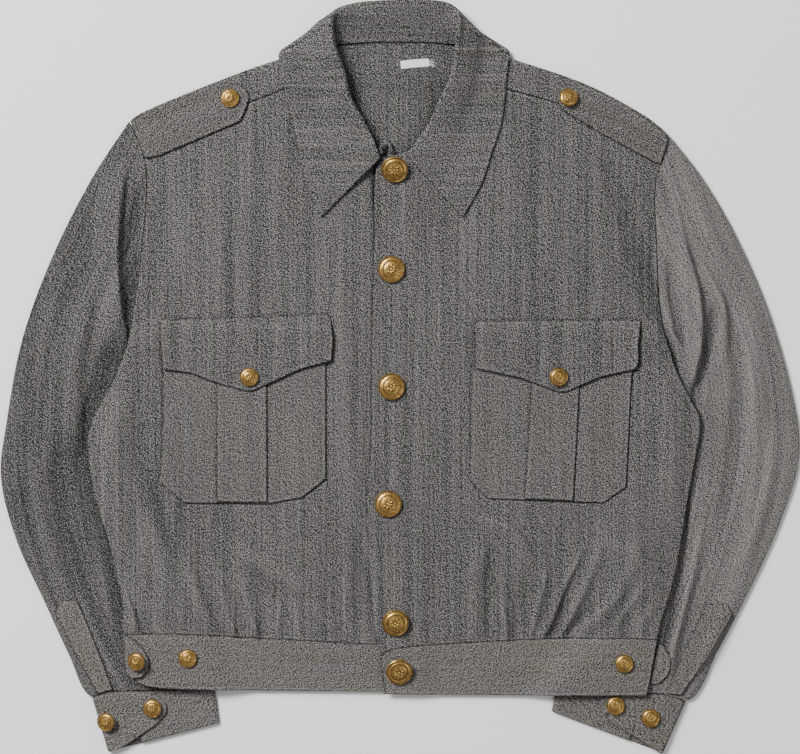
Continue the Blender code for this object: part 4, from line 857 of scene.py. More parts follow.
def unrolled(grid, anchor):
    """Cloth coordinates of a grid: its plan place at one column, then its true length to both sides."""
    steps = np.diff(grid, axis=1)
    plan = steps[:, :, :2]
    share = abs(plan) / np.maximum(abs(plan).sum(axis=2, keepdims=True), 1e-9)
    moved = np.sign(plan) * np.hypot(plan, share * steps[:, :, 2:])
    laid = np.concatenate([np.zeros_like(grid[:, :1, :2]), np.cumsum(moved, axis=1)], axis=1)
    return laid + (grid[:, anchor, :2] - laid[:, anchor])[:, None]


def close_rows(count, near=(0.0, 0.35, 0.9)):
    """Even places from 0 to 1 with a few more close to both ends; near is in hundredths."""
    inner = np.linspace(0, 1, count)[1:-1]
    ends = np.array(near) / 100
    clear = (inner > ends[-1] * 1.5) & (inner < 1 - ends[-1] * 1.5)
    return np.concatenate([ends, inner[clear], 1 - ends[::-1]])


def stitched(name, rows, material, pitch):
    """Rows of stitches: small flattened beads of thread, half sunk in the cloth."""
    length, thick = 2.1, 0.26
    verts, faces = [], []
    ring = 5
    sections = [(-0.5, 0.25), (-0.34, 0.9), (0.34, 0.9), (0.5, 0.25)]
    for row in rows:
        line = resample(row, 0.5)
        lengths = np.concatenate([[0], np.cumsum(np.linalg.norm(np.diff(line, axis=0), axis=1))])
        for k in range(int(lengths[-1] / pitch)):
            middle = (k + 0.5) * pitch
            ends = [np.array([np.interp(middle + s * length, lengths, line[:, n]) for n in range(3)])
                    for s in (-0.5, 0.5)]
            along = ends[1] - ends[0]
            size = np.linalg.norm(along)
            if size < 0.4 * length:
                continue
            along /= size
            side = np.cross([0, 0, 1], along)
            side /= max(np.linalg.norm(side), 1e-6)
            up = np.cross(along, side)
            centre = (ends[0] + ends[1]) / 2
            first = len(verts)
            for place, width in sections:
                for j in range(ring):
                    angle = 2 * math.pi * j / ring
                    verts.append(centre + along * place * size + side * math.cos(angle) * thick * width
                                 + up * math.sin(angle) * thick * width * 0.8)
            for s in range(len(sections) - 1):
                for j in range(ring):
                    n = (j + 1) % ring
                    low, high = first + s * ring, first + (s + 1) * ring
                    faces.append((low + j, low + n, high + n, high + j))
            faces.append(tuple(first + j for j in reversed(range(ring))))
            faces.append(tuple(first + (len(sections) - 1) * ring + j for j in range(ring)))
    verts = np.array(verts)
    return make_piece(name, verts, faces, verts[:, :2], np.full(len(verts), 5.0), material)


def add_node(tree, kind, **settings):
    """A node with its settings; a setting whose name isn't the node's own is an input's value."""
    node = tree.nodes.new(kind)
    for key, value in settings.items():
        if hasattr(node, key):
            setattr(node, key, value)
        else:
            node.inputs[key.replace("_", " ")].default_value = value
    return node


def math_node(tree, operation, a, b=None, c=None):
    """One arithmetic step; numbers are set and sockets are linked."""
    node = add_node(tree, "ShaderNodeMath", operation=operation)
    for slot, value in enumerate((a, b, c)):
        if value is None:
            continue
        if isinstance(value, (int, float)):
            node.inputs[slot].default_value = value
        else:
            tree.links.new(value, node.inputs[slot])
    return node.outputs[0]


def mix_colour(tree, share, a, b, blend_type="MIX"):
    """A mix of two colours."""
    node = add_node(tree, "ShaderNodeMix", data_type="RGBA", blend_type=blend_type)
    for slot, value in ((0, share), (6, a), (7, b)):
        if isinstance(value, (int, float, tuple)):
            node.inputs[slot].default_value = value
        else:
            tree.links.new(value, node.inputs[slot])
    return node.outputs[2]


def clamped(tree, value, low=0.0, high=1.0):
    """A value kept between two limits."""
    clamp = add_node(tree, "ShaderNodeClamp", Min=low, Max=high)
    tree.links.new(value, clamp.inputs["Value"])
    return clamp.outputs[0]


def mapped(tree, vector, stretch, turn):
    """Cloth coordinates turned by some degrees, then stretched."""
    for key, value in (("Rotation", (0, 0, math.radians(turn))), ("Scale", stretch)):
        mapping = add_node(tree, "ShaderNodeMapping", **{key: value})
        tree.links.new(vector, mapping.inputs["Vector"])
        vector = mapping.outputs[0]
    return vector


def noise_at(tree, vector, scale, stretch=(1, 1, 1), turn=0.0, detail=2.0, rough=0.5):
    """Noise over the cloth coordinates, turned and stretched, about -0.5 to 0.5."""
    noise = add_node(tree, "ShaderNodeTexNoise", noise_dimensions="2D", Scale=scale, Detail=detail,
                     Roughness=rough)
    tree.links.new(mapped(tree, vector, stretch, turn), noise.inputs["Vector"])
    return math_node(tree, "SUBTRACT", noise.outputs["Fac"], 0.5)


def cells_at(tree, vector, stretch, turn):
    """Small cells that each have a chance value, about -0.5 to 0.5: the flecks of a mixed yarn."""
    cells = add_node(tree, "ShaderNodeTexVoronoi", voronoi_dimensions="2D", Scale=1.0)
    tree.links.new(mapped(tree, vector, stretch, turn), cells.inputs["Vector"])
    return math_node(tree, "SUBTRACT", cells.outputs["Color"], 0.5)


def bell_at(tree, distance, middle, width):
    """The bell function as nodes."""
    off = math_node(tree, "DIVIDE", math_node(tree, "SUBTRACT", distance, middle), width)
    square = math_node(tree, "MULTIPLY", off, off)
    return math_node(tree, "EXPONENT", math_node(tree, "MULTIPLY", square, -1.0))


def open_group(name, inputs, outputs):
    """A new node group: its tree, what it is given and what it gives back."""
    tree = bpy.data.node_groups.new(name, "ShaderNodeTree")
    for direction, sockets in (("INPUT", inputs), ("OUTPUT", outputs)):
        for label, kind in sockets.items():
            tree.interface.new_socket(label, in_out=direction, socket_type="NodeSocket" + kind)
    return tree, tree.nodes.new("NodeGroupInput").outputs, tree.nodes.new("NodeGroupOutput").inputs


def heather_group():
    """The heathered twill: flecks, a fine diagonal, streaks down the warp and worn edges, with painted shade
    and a painted highlight from Edge, Press and Fold.
    """
    inputs = {"Vector": "Vector", "Edge": "Float", "Press": "Float", "Fold": "Float", "Dark": "Color",
              "Light": "Color", "Warm": "Color", "Tone": "Float", "Fleck": "Float", "Streak": "Float",
              "Wear": "Float"}
    tree, given, result = open_group("Heather twill", inputs, {"Color": "Color", "Height": "Float"})

    def step(operation, *values):
        return math_node(tree, operation, *values)

    vector = given["Vector"]
    fleck = noise_at(tree, vector, 1180, detail=0.0)
    cells = cells_at(tree, vector, stretch=(1500, 1150, 1), turn=-32)
    twill = noise_at(tree, vector, 1.0, stretch=(1450, 760, 1), turn=38, detail=0.0)
    narrow = noise_at(tree, vector, 1.0, stretch=(430, 6, 1), detail=2.0, rough=0.6)
    broad = noise_at(tree, vector, 1.0, stretch=(85, 2.2, 1), detail=2.0, rough=0.55)
    cloud = noise_at(tree, vector, 11, detail=3.0)
    hair = noise_at(tree, vector, 1.0, stretch=(620, 9, 1), detail=1.0)
    speck = step("MULTIPLY_ADD", fleck, 0.75, step("MULTIPLY_ADD", cells, 0.24, twill))
    tone = step("MULTIPLY", speck, given["Fleck"])
    streak = step("ADD", broad, step("MULTIPLY", narrow, 1.7))
    tone = step("MULTIPLY_ADD", streak, given["Streak"], tone)
    tone = step("MULTIPLY_ADD", cloud, 0.10, tone)
    tone = step("ADD", tone, given["Tone"])
    worn = step("MULTIPLY", bell_at(tree, given["Edge"], 1.9, 1.0), given["Wear"])
    tone = step("MULTIPLY_ADD", worn, step("MULTIPLY_ADD", cloud, 2.0, 0.9), tone)
    # Painted shade: a thin dark line along the piece's own edge.
    tone = step("MULTIPLY_ADD", bell_at(tree, given["Edge"], 0.0, 0.60), -0.38, tone)
    # Painted shade in a narrow band beside pieces that lie on the cloth.
    tone = step("MULTIPLY_ADD", bell_at(tree, given["Press"], 0.0, 1.0), -0.34, tone)
    # Painted shade and highlight from Fold: darker in creases, valleys and wherever Fold is set low, a little
    # lighter on crease ridges.
    rubbed = clamped(tree, step("MULTIPLY", given["Fold"], 0.07), -0.38, 0.12)
    tone = clamped(tree, step("ADD", rubbed, tone))
    grey = mix_colour(tree, tone, given["Dark"], given["Light"])
    warm = step("MULTIPLY_ADD", fleck, 0.9, step("MULTIPLY_ADD", hair, 2.6, 0.28))
    tinted = mix_colour(tree, clamped(tree, warm), grey, given["Warm"], "MULTIPLY")
    tree.links.new(tinted, result["Color"])
    tree.links.new(step("MULTIPLY_ADD", twill, 1.6, fleck), result["Height"])
    return tree


def tarnish_group():
    """Tarnish for stamped brass: dark in the rings and round the rim, with small stains."""
    tree, given, result = open_group(
        "Tarnish", {"Vector": "Vector", "Place": "Vector", "Bright": "Color", "Stain": "Color"},
        {"Color": "Color", "Roughness": "Float", "Height": "Float"})
    length = add_node(tree, "ShaderNodeVectorMath", operation="LENGTH")
    tree.links.new(given["Vector"], length.inputs[0])
    stain = 0.0
    for at, width, strength in ((0.90, 0.05, 0.8), (0.66, 0.035, 0.7), (0.58, 0.03, 0.45)):
        ring = bell_at(tree, length.outputs["Value"], at, width)
        stain = math_node(tree, "MULTIPLY_ADD", ring, strength, stain)
    for scale, detail, rough, middle, strength in ((420, 4, 0.6, 0.42, 2.4), (900, 2, 0.5, 0.5, 1.2)):
        spots = add_node(tree, "ShaderNodeTexNoise", Scale=scale, Detail=detail, Roughness=rough)
        tree.links.new(given["Place"], spots.inputs["Vector"])
        off = math_node(tree, "SUBTRACT", spots.outputs["Fac"], middle)
        stain = math_node(tree, "MULTIPLY_ADD", off, strength, stain)
    stain = clamped(tree, stain)
    tree.links.new(mix_colour(tree, stain, given["Bright"], given["Stain"]), result["Color"])
    tree.links.new(math_node(tree, "MULTIPLY_ADD", stain, 0.32, 0.26), result["Roughness"])
    tree.links.new(spots.outputs["Fac"], result["Height"])
    return tree


def new_material(name, **values):
    """A material with some shader values set, its node tree and its shader's inputs."""
    material = bpy.data.materials.new(name)
    material.use_nodes = True
    inputs = material.node_tree.nodes["Principled BSDF"].inputs
    for key, value in values.items():
        inputs[key.replace("_", " ")].default_value = value
    return material, material.node_tree, inputs


def add_group(tree, name, build, **values):
    """A node that uses the group of that name, which is built the first time it is asked for."""
    group = tree.nodes.new("ShaderNodeGroup")
    group.node_tree = bpy.data.node_groups.get(name) or build()
    for key, value in values.items():
        group.inputs[key].default_value = value
    return group


def add_bump(tree, height, strength, distance):
    """Lets a height bend the light on the surface."""
    bump = add_node(tree, "ShaderNodeBump", Strength=strength, Distance=distance)
    tree.links.new(height, bump.inputs["Height"])
    tree.links.new(bump.outputs[0], tree.nodes["Principled BSDF"].inputs["Normal"])


def cloth_material(name, tone=0.15, fleck=4.3, streak=0.66, wear=0.16, warmth=0.35):
    """A woven material with its own values of the heather pattern."""
    if name in bpy.data.materials:
        return bpy.data.materials[name]
    settings = bpy.context.scene.jacket
    material, tree, inputs = new_material(
        name, Roughness=0.92, Specular_IOR_Level=0.18, Sheen_Weight=0.03, Sheen_Roughness=0.6)
    group = add_group(
        tree, "Heather twill", heather_group, Tone=tone, Fleck=fleck, Streak=streak, Wear=wear,
        Dark=(*settings.dark_thread, 1), Light=(*settings.light_thread, 1),
        Warm=(*[1 - (1 - c) * 2 * warmth for c in settings.warm_thread], 1))
    place = add_node(tree, "ShaderNodeUVMap", uv_map="cloth")
    tree.links.new(place.outputs[0], group.inputs["Vector"])
    for label in ("Edge", "Press", "Fold"):
        measure = add_node(tree, "ShaderNodeAttribute", attribute_name=label.lower())
        tree.links.new(measure.outputs["Fac"], group.inputs[label])
    tree.links.new(group.outputs["Color"], inputs["Base Color"])
    add_bump(tree, group.outputs["Height"], 0.35, 0.0005)
    return material


def plain_material(name, dark, light, scale):
    """A thread or tape material whose colour varies a little over its length."""
    if name in bpy.data.materials:
        return bpy.data.materials[name]
    material, tree, inputs = new_material(name, Roughness=0.9)
    place = add_node(tree, "ShaderNodeTexCoord")
    noise = add_node(tree, "ShaderNodeTexNoise", Scale=scale, Detail=3.0)
    tree.links.new(place.outputs["Object"], noise.inputs["Vector"])
    span = add_node(tree, "ShaderNodeMapRange", From_Min=0.3, From_Max=0.7)
    tree.links.new(noise.outputs["Fac"], span.inputs["Value"])
    colour = mix_colour(tree, span.outputs[0], (*dark, 1), (*light, 1))
    tree.links.new(colour, inputs["Base Color"])
    add_bump(tree, noise.outputs["Fac"], 0.4, 0.0002)
    return material


def brass_material():
    """Aged brass, bright where it is rubbed and brown in its rings."""
    name = "Aged brass"
    if name in bpy.data.materials:
        return bpy.data.materials[name]
    material, tree, inputs = new_material(name, Metallic=0.85)
    group = add_group(tree, "Tarnish", tarnish_group, Bright=(*bpy.context.scene.jacket.brass, 1),
                      Stain=(0.10, 0.05, 0.015, 1))
    face = add_node(tree, "ShaderNodeUVMap", uv_map="cloth")
    tree.links.new(face.outputs[0], group.inputs["Vector"])
    place = add_node(tree, "ShaderNodeTexCoord")
    tree.links.new(place.outputs["Object"], group.inputs["Place"])
    tree.links.new(group.outputs["Color"], inputs["Base Color"])
    tree.links.new(group.outputs["Roughness"], inputs["Roughness"])
    add_bump(tree, group.outputs["Height"], 0.5, 0.0003)
    return material


def thread_material():
    """Grey sewing thread."""
    return plain_material("Sewing thread", (0.05, 0.05, 0.055), (0.20, 0.19, 0.18), 700)


def declare(node):
    """Hides the solid that a cloth piece stands for."""
    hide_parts(node)


class JacketSettings(bpy.types.PropertyGroup):
    """Sizes and colours of the jacket that a user would change."""

    dark_thread: bpy.props.FloatVectorProperty(
        name="Dark thread", description="Colour of the dark yarn", subtype="COLOR", size=3,
        default=(0.008, 0.009, 0.012), min=0, max=1)
    light_thread: bpy.props.FloatVectorProperty(
        name="Light thread", description="Colour of the light yarn", subtype="COLOR", size=3,
        default=(0.245, 0.236, 0.224), min=0, max=1)
    warm_thread: bpy.props.FloatVectorProperty(
        name="Warm tint", description="Tint of the beige hairlines", subtype="COLOR", size=3,
        default=(1.0, 0.93, 0.84), min=0, max=1)
    brass: bpy.props.FloatVectorProperty(
        name="Brass", description="Colour of the rubbed brass", subtype="COLOR", size=3,
        default=(0.48, 0.30, 0.09), min=0, max=1)
    cloth_step: bpy.props.FloatProperty(
        name="Cloth mesh step", description="Distance between mesh points on the fronts, in millimetres",
        default=2.7, min=1.5, max=12)
    stitch_pitch: bpy.props.FloatProperty(
        name="Stitch pitch", description="Distance from stitch to stitch, in millimetres",
        default=3.0, min=1.5, max=8)
    key_power: bpy.props.FloatProperty(
        name="Key light", description="Power of the soft key light", default=205.0, min=0, max=900,
        subtype="POWER")


def front_loop(side):
    """The outline of one front."""
    edge = UNDER_EDGE if side == "right" else OVER_EDGE
    lines = YOKE_FRONT[side], ARMHOLE[side], SIDE[side], WAIST[side], edge, NECK_FRONT[side]
    return outline(*(curve(line, 3) for line in lines))


class JACKET_OT_back(bpy.types.Operator):
    """Lays the back panel."""

    bl_idname = "jacket.back"
    bl_label = "Back"

    def execute(self, context):
        waist = [(-258, -239), (-100, -246), (0, -248), (100, -247), (239, -244)]
        loop = outline(
            curve(NECK_BACK, 3), curve(YOKE_BACK["left"], 3), curve(ARMHOLE["left"], 3),
            curve(BACK_SIDE["left"], 3), curve(waist[::-1], 3), curve(BACK_SIDE["right"][::-1], 3),
            curve(ARMHOLE["right"][::-1], 3), curve(YOKE_BACK["right"][::-1], 3))
        roll = collar_sections(60)[:, 3, :2]

        def neck_shade(x, y):
            """Painted shade: the cloth inside the neck is darker, most of all beside the collar."""
            return -1.3 * ease(y, 190, 215) - 3.0 * bell(distance_to(x, y, roll), 0, 9)

        piece = lay_cloth("back", loop, back_under, cloth_material("Jacket cloth"), spacing=4.2,
                          shift=(13, 40), fold=neck_shade)
        declare("back")
        return {"FINISHED"}


class JACKET_OT_fronts(bpy.types.Operator):
    """Lays both fronts, the left one lapped over the right one."""

    bl_idname = "jacket.fronts"
    bl_label = "Fronts"

    def execute(self, context):
        step = context.scene.jacket.cloth_step
        for side in ("right", "left"):
            covers = [cornered(shape[side], 2.0, 1.2) for shape in (POUCH, FLAP, EPAULETTE)]
            if side == "right":
                covers.append(front_loop("left"))
            # The crease heights also drive painted shade in the creases and a painted highlight on their
            # ridges.
            piece = lay_cloth(f"front_{side}", front_loop(side), front_under(side),
                              cloth_material("Jacket cloth"), spacing=step, seed=31, covers=covers,
                              extra=crease_points(FRONT_CREASES[side]),
                              shift=(0, 0) if side == "right" else (400, 130),
                              fold=lambda x, y: CREASE_LIFT * crease_height(x, y, FRONT_CREASES[side]))
            declare(f"front_{side}")
        return {"FINISHED"}


class JACKET_OT_yokes(bpy.types.Operator):
    """Folds the two shoulder yokes over the shoulder line."""

    bl_idname = "jacket.yokes"
    bl_label = "Yokes"

    def execute(self, context):
        stations = 96
        for side in ("right", "left"):
            lines = []
            for table in (YOKE_FRONT, SHOULDER, YOKE_BACK):
                dense = curve(table[side], 0.5)
                lines.append(resample(dense, run_length(dense) / stations)[:stations + 1])
            front, fold, back = lines
            size = np.linalg.norm(fold - front, axis=1)[:, None]
            into = (front - fold) / size
            front = front - into * SEAM_GAP
            back = back + (fold - back) / np.linalg.norm(fold - back, axis=1)[:, None] * SEAM_GAP
            turn = fold + into * CLOTH * 1.6
            tip = fold + into * CLOTH * 0.6
            rows = []
            for t in (0, 0.03, 0.08, 0.2, 0.35, 0.5, 0.65, 0.8, 0.9, 1.0):
                p = front + (turn - front) * t
                swell = 0.25 * ripple(p[:, 0], p[:, 1], 40, 5)
                rows.append(np.column_stack([p, upper_under(p[:, 0], p[:, 1]) + CLOTH / 2 + swell]))
            low = np.column_stack([turn, back_under(turn[:, 0], turn[:, 1]) + CLOTH / 2 + 0.1])
            middle = (rows[-1][:, 2] + low[:, 2]) / 2
            for t in (0.3, 0.5, 0.7):
                p = turn + (tip - turn) * math.sin(math.pi * t)
                z = rows[-1][:, 2] if t < 0.4 else (middle if t < 0.6 else low[:, 2])
                z = 0.75 * z + 0.25 * middle
                rows.append(np.column_stack([p, z]))
            for t in (0, 0.25, 0.5, 0.75, 0.96):
                p = turn + (back - turn) * t
                rows.append(np.column_stack([p, back_under(p[:, 0], p[:, 1]) + CLOTH / 2 + 0.1]))
            grid = np.stack(rows, axis=1)
            for a, b, gap in ((0, 2, 0.8), (1, 3, 0.4), (-1, -3, 0.8), (-2, -4, 0.4)):
                d = grid[b] - grid[a]
                grid[a] += d / np.linalg.norm(d, axis=1)[:, None] * gap
            _, _, edge = grid_measures(grid)
            uv = unrolled(grid, 0)
            if side == "left":
                grid, uv, edge = grid[::-1], uv[::-1], edge[::-1]
            piece = shell(f"yoke_{side}_cloth", grid, CLOTH, uv + 700, edge, cloth_material("Jacket cloth"))
            declare(f"yoke_{side}")
        return {"FINISHED"}


def sleeve_grid(side, wall, stations, angles):
    """Points of a sleeve's outer or inner surface, ring by ring."""
    places = np.linspace(0, len(SLEEVE[side]) - 1, stations)
    lines = blend(SLEEVE[side], places)
    steps = places / (len(SLEEVE[side]) - 1) * 25
    k = np.where(steps < 2, steps / 2, steps - 1)
    dense = curve((ARMHOLE_TOP[side] + ARMHOLE[side][1:])[::-1], 1.0)
    chord_from, chord_to = dense[0], dense[-1]
    inner, outer = lines[:, :2], lines[:, 2:]
    length = np.linalg.norm(outer - inner, axis=1)
    chord = (outer - inner) / length[:, None]
    slants = []
    for column in (slice(0, 2), slice(2, 4)):
        run = np.gradient(lines[:, column], axis=0)
        run /= np.linalg.norm(run, axis=1)[:, None]
        slants.append(np.maximum(0.12, abs(chord[:, 0] * run[:, 1] - chord[:, 1] * run[:, 0])))
    inner_slant = MOUTH_SLANT + (slants[0] - MOUTH_SLANT) * ease(k, 1.0, 2.4)
    start = wall / inner_slant
    stop = length - wall / slants[1]
    share = 0.5 - 0.5 * np.cos(angles)
    t = (start[:, None] + share[None] * (stop - start)[:, None]) / length[:, None]
    place = np.clip(t, 0, 1) * (len(dense) - 1)
    seam = np.stack([np.interp(place, np.arange(len(dense)), dense[:, n]) for n in (0, 1)], axis=2)
    spot = inner[:, None] + (outer - inner)[:, None] * t[:, :, None]
    bulge = seam - chord_from - (chord_to - chord_from) * t[:, :, None]
    spot += bulge * (1 - ease(k, 0, 6))[:, None, None]
    spot[:, :, 0] += 0.2 * sign_of(side) * (1 - ease(k, 0, 0.5))[:, None]
    end_y = line_height(CUFF_TOP[side], spot[:, :, 0]) + 1.5 * SEAM_GAP
    spot[:, :, 1] += (end_y - spot[:, :, 1]) * ease(k, 21, 24)[:, None]
    crown = np.sqrt(1 - abs(2 * share - 1) ** 4)[None]
    mid = SLEEVE_HEIGHT / 2
    x, y = spot[:, :, 0], spot[:, :, 1]
    above = (angles < math.pi)[None]
    folds = sleeve_folds(side, x, y)
    z = np.where(above, mid + (mid - wall) * crown + folds * crown, mid - (mid - wall) * crown)
    return np.dstack([spot, z])


class JACKET_OT_sleeves(bpy.types.Operator):
    """Shapes both sleeves as flattened tubes with their creases."""

    bl_idname = "jacket.sleeves"
    bl_label = "Sleeves"

    def execute(self, context):
        above, below, stations = 92, 26, 200
        angles = np.concatenate([np.pi * np.arange(above) / above, np.pi * (1 + np.arange(below) / below)])
        for side in ("right", "left"):
            outer = sleeve_grid(side, 0.0, stations, angles)
            inner = sleeve_grid(side, CLOTH, stations, angles)
            _, v, _ = grid_measures(np.concatenate([outer, outer[:, :1]], axis=1))
            v = np.repeat(v.mean(axis=1, keepdims=True), v.shape[1], axis=1)
            count = len(angles)
            index = np.arange(stations * count).reshape(stations, count)
            follow = np.roll(index, -1, axis=1)
            a, b = index[:-1].ravel(), follow[:-1].ravel()
            c, d = follow[1:].ravel(), index[1:].ravel()
            total = stations * count
            faces = list(zip(a, b, c, d))
            faces += list(zip(d + total, c + total, b + total, a + total))
            for row, flip in ((0, True), (stations - 1, False)):
                p, q = index[row], follow[row]
                quads = list(zip(p, q, q + total, p + total))
                faces += [f[::-1] for f in quads] if flip else quads
            if side == "right":
                faces = [f[::-1] for f in faces]
            along = np.minimum(v, v[-1:] - v)[:, :-1]
            middle = np.interp(-outer[:, :, 1], -MIDDLE_LINE[side][:, 1], MIDDLE_LINE[side][:, 0])
            off = outer[:, :, 0] - middle
            crown = np.sqrt(1 - abs(np.cos(angles)) ** 4)[None]
            drop = SLEEVE_HEIGHT / 2 * (1 - crown)
            uv = np.dstack([off + np.sign(off) * drop, outer[:, :, 1]])
            uv = uv.reshape(-1, 2) + (900 if side == "left" else 1500)
            verts = np.vstack([outer.reshape(-1, 3), inner.reshape(-1, 3)])
            edge = np.concatenate([along.ravel(), along.ravel()])
            # The right sleeve's cloth is set far darker than the left sleeve's.
            material = cloth_material(f"Sleeve cloth {side}", tone=0.02 if side == "right" else 0.56,
                                      fleck=3.8, streak=0.64, wear=0.06)
            x, y = outer[:, :, 0].ravel(), outer[:, :, 1].ravel()
            # press and rise drive painted shade: a narrow band along the body's side edge and the pieces on
            # the sleeve, a wider painted shadow of the body beside its edge, shade in the creases and a
            # painted highlight on their ridges.
            press = distance_to(x, y, curve(SIDE[side], 3))
            rise = sleeve_folds(side, x, y) - 4.2 * bell(press, 0, 15)
            rise = np.where(np.tile(angles < math.pi, stations), rise, 0.0)
            for cover in (SLEEVE_PLACKET[side], SIDE_TAB[side]):
                shape = cornered(cover, 2.0, 1.5)
                far = distance_to(x, y, shape, closed=True)
                press = np.minimum(press, np.where(inside(x, y, shape), 0.0, far))
            piece = make_piece(f"sleeve_{side}_cloth", verts, faces, np.vstack([uv, uv]), edge, material,
                               np.concatenate([press, press]), np.concatenate([rise, rise]))
            declare(f"sleeve_{side}")
        return {"FINISHED"}


def garment_top(x, y):
    """The top of the fronts and yoke as the collar meets them, with the lap at the centre."""
    return upper_under(x, y) + centre_lap(x, CLOTH) * ease(x, -42, -30) + CLOTH


def collar_sections(count):
    """The collar's cross sections, each from the neck seam over the roll to the outer edge."""
    rest = LAY_GAP + 0.35 + COLLAR_WALL / 2
    rows = blend(COLLAR, np.linspace(0, len(COLLAR) - 1, count))
    sections = []
    for values in rows:
        row = CollarLine(*values)
        radius = TIGHT_ROLL + (LOOSE_ROLL - TIGHT_ROLL) * float(ease(row.turn, 5, 60))
        behind_z = float(back_under(row.seam_x, row.seam_y)) + CLOTH + rest
        before_z = float(garment_top(row.seam_x, row.seam_y)) + rest
        share = float(ease(row.seam_y, 304.5, 307.5))
        seam = np.array([row.seam_x, row.seam_y, before_z + (behind_z - before_z) * share])
        clear = float(garment_top(row.roll_x, row.roll_y)) + rest + radius
        roll = np.array([row.roll_x, row.roll_y, max(row.roll_z, clear)])
        hip = np.array([row.hip_x, row.hip_y, row.hip_z])
        edge = np.array([row.edge_x, row.edge_y, row.edge_z])
        if row.turn < 90:
            hip[2] = max(hip[2], float(garment_top(hip[0], hip[1])) + rest + 0.5)
            edge[2] = max(edge[2], float(garment_top(edge[0], edge[1])) + rest)
        outward = np.array([row.hip_x - row.roll_x, row.hip_y - row.roll_y, 0])
        outward /= np.linalg.norm(outward)
        if row.turn > 90:
            behind = np.array([row.roll_x * 0.4, row.roll_y - 300, 0])
            behind /= np.linalg.norm(behind)
            outward = outward + (behind - outward) * float(ease(row.turn, 90, 140))
            outward /= np.linalg.norm(outward)
        turn = math.radians(row.turn)
        up = np.array([0, 0, 1.0])
        tip = -outward * math.cos(turn) + up * math.sin(turn)
        spread = outward * math.sin(turn) + up * math.cos(turn)
        near = roll - tip * radius - spread * radius
        far = roll - tip * radius + spread * radius
        slope = far + (hip - far) * 0.5
        slope[2] = hip[2] + 0.62 * (far[2] - hip[2])
        sections.append([seam, (seam + near) / 2, near, roll, far, slope, hip, (hip + edge) / 2, edge])
    return np.array(sections)


class JACKET_OT_collar(bpy.types.Operator):
    """Rolls the collar round the neck and lets its leaves fall on the fronts."""

    bl_idname = "jacket.collar"
    bl_label = "Collar"

    def execute(self, context):
        sections = collar_sections(230)
        places = np.concatenate([
            [0, 0.04, 0.12, 0.3, 0.6, 1, 1.4, 1.8], np.arange(2, 4, 0.25), np.linspace(4, 7.45, 24),
            [7.55, 7.62, 7.69, 7.76, 7.84, 7.92, 7.965, 7.985, 8]])
        grid = np.stack([blend(section, places) for section in sections])
        for a, b in ((0, 2), (-1, -3)):
            d = grid[b] - grid[a]
            grid[a] += d / np.maximum(np.linalg.norm(d, axis=1), 1e-6)[:, None] * 0.3
        u, v, _ = grid_measures(grid)
        free = np.minimum(u[:, -1:] - u, np.minimum(v, v[-1:] - v))
        calm = ease(u, 12, 30)
        swell = (0.22 * ripple(grid[:, :, 0], grid[:, :, 1], 34, 8) * ease(free, 2, 10)
                 + 0.10 * ripple(grid[:, :, 0], grid[:, :, 1], 9, 9) * bell(free, 4, 4)) * calm
        groove = 0.25 * bell(free, 6.0, 1.1) * calm
        grid[:, :, 2] += swell - groove
        uv = unrolled(grid, int(np.argmin(abs(places - 3))))[:, :, ::-1] + (2300, 300)
        material = cloth_material("Collar cloth", tone=0.135, fleck=4.2, streak=0.64, wear=0.14)
        piece = shell("collar_cloth", grid, COLLAR_WALL, uv, free, material, rounding=1.2)
        lines = collar_sections(60)[:, [0, 3, 6, 8]]
        spans = np.linalg.norm(np.diff(lines, axis=1), axis=2)
        steps = np.linalg.norm(np.diff(lines, axis=0), axis=2)
        steps = (steps[:, :-1] + steps[:, 1:]) / 2
        whole = ((spans[:-1] + spans[1:]) / 2 * steps).sum()
        Cut(max(run_length(line) for line in lines.swapaxes(0, 1)) * MM,
                             spans.sum(axis=1).max() * MM, whole * MM * MM)
        declare("collar")
        return {"FINISHED"}


def even(level):
    """A surface that has one height everywhere."""
    return lambda x, y: level + 0.0 * x


class JACKET_OT_neck(bpy.types.Operator):
    """Makes the little loop at the throat and the blank, frayed label inside the back."""

    bl_idname = "jacket.neck"
    bl_label = "Neck loop and label"

    def execute(self, context):
        loop = curve(NECK_LOOP + NECK_LOOP[:1], 1.0)[:-1]
        piece = lay_cloth("neck_loop", loop, even(NECK_LOOP_LEVEL), cloth_material("Jacket cloth"),
                          wall=1.2, spacing=1.2, rounding=0.6, shift=(50, 0), pucker=0.0)
        declare("neck_loop")
        tape = plain_material("Woven tape", (0.60, 0.575, 0.52), (0.90, 0.88, 0.83), 900)

        def under(x, y):
            """The back's upper side, with the tape's own unevenness."""
            return back_under(x, y) + CLOTH + LAY_GAP + 0.15 * ripple(x, y, 9, 14)

        label = lay_cloth("neck_label", cornered(NECK_LABEL, 1.2, 0.5), under, tape, wall=0.8, spacing=1.2,
                          rounding=0.4, pucker=0.0)
        declare("neck_label")
        chance = np.random.default_rng(6)
        rows = []
        for k in range(11):
            start = np.array([27.0, 290.2 + 0.45 * k])
            bend = start + (chance.uniform(2, 4.5), chance.uniform(-2.2, 0.8))
            stop = bend + (chance.uniform(0.5, 3.5), chance.uniform(-3.0, 1.2))
            line = curve([tuple(start), tuple(bend), tuple(stop)], 0.6)
            wave = 0.5 * np.sin(np.linspace(0, 3, len(line)) + k)
            rows.append(np.column_stack([line, back_under(line[:, 0], line[:, 1]) + CLOTH + 0.6 + wave]))
        frayed = thread_tubes("label_threads", rows, tape, 0.16)
        return {"FINISHED"}


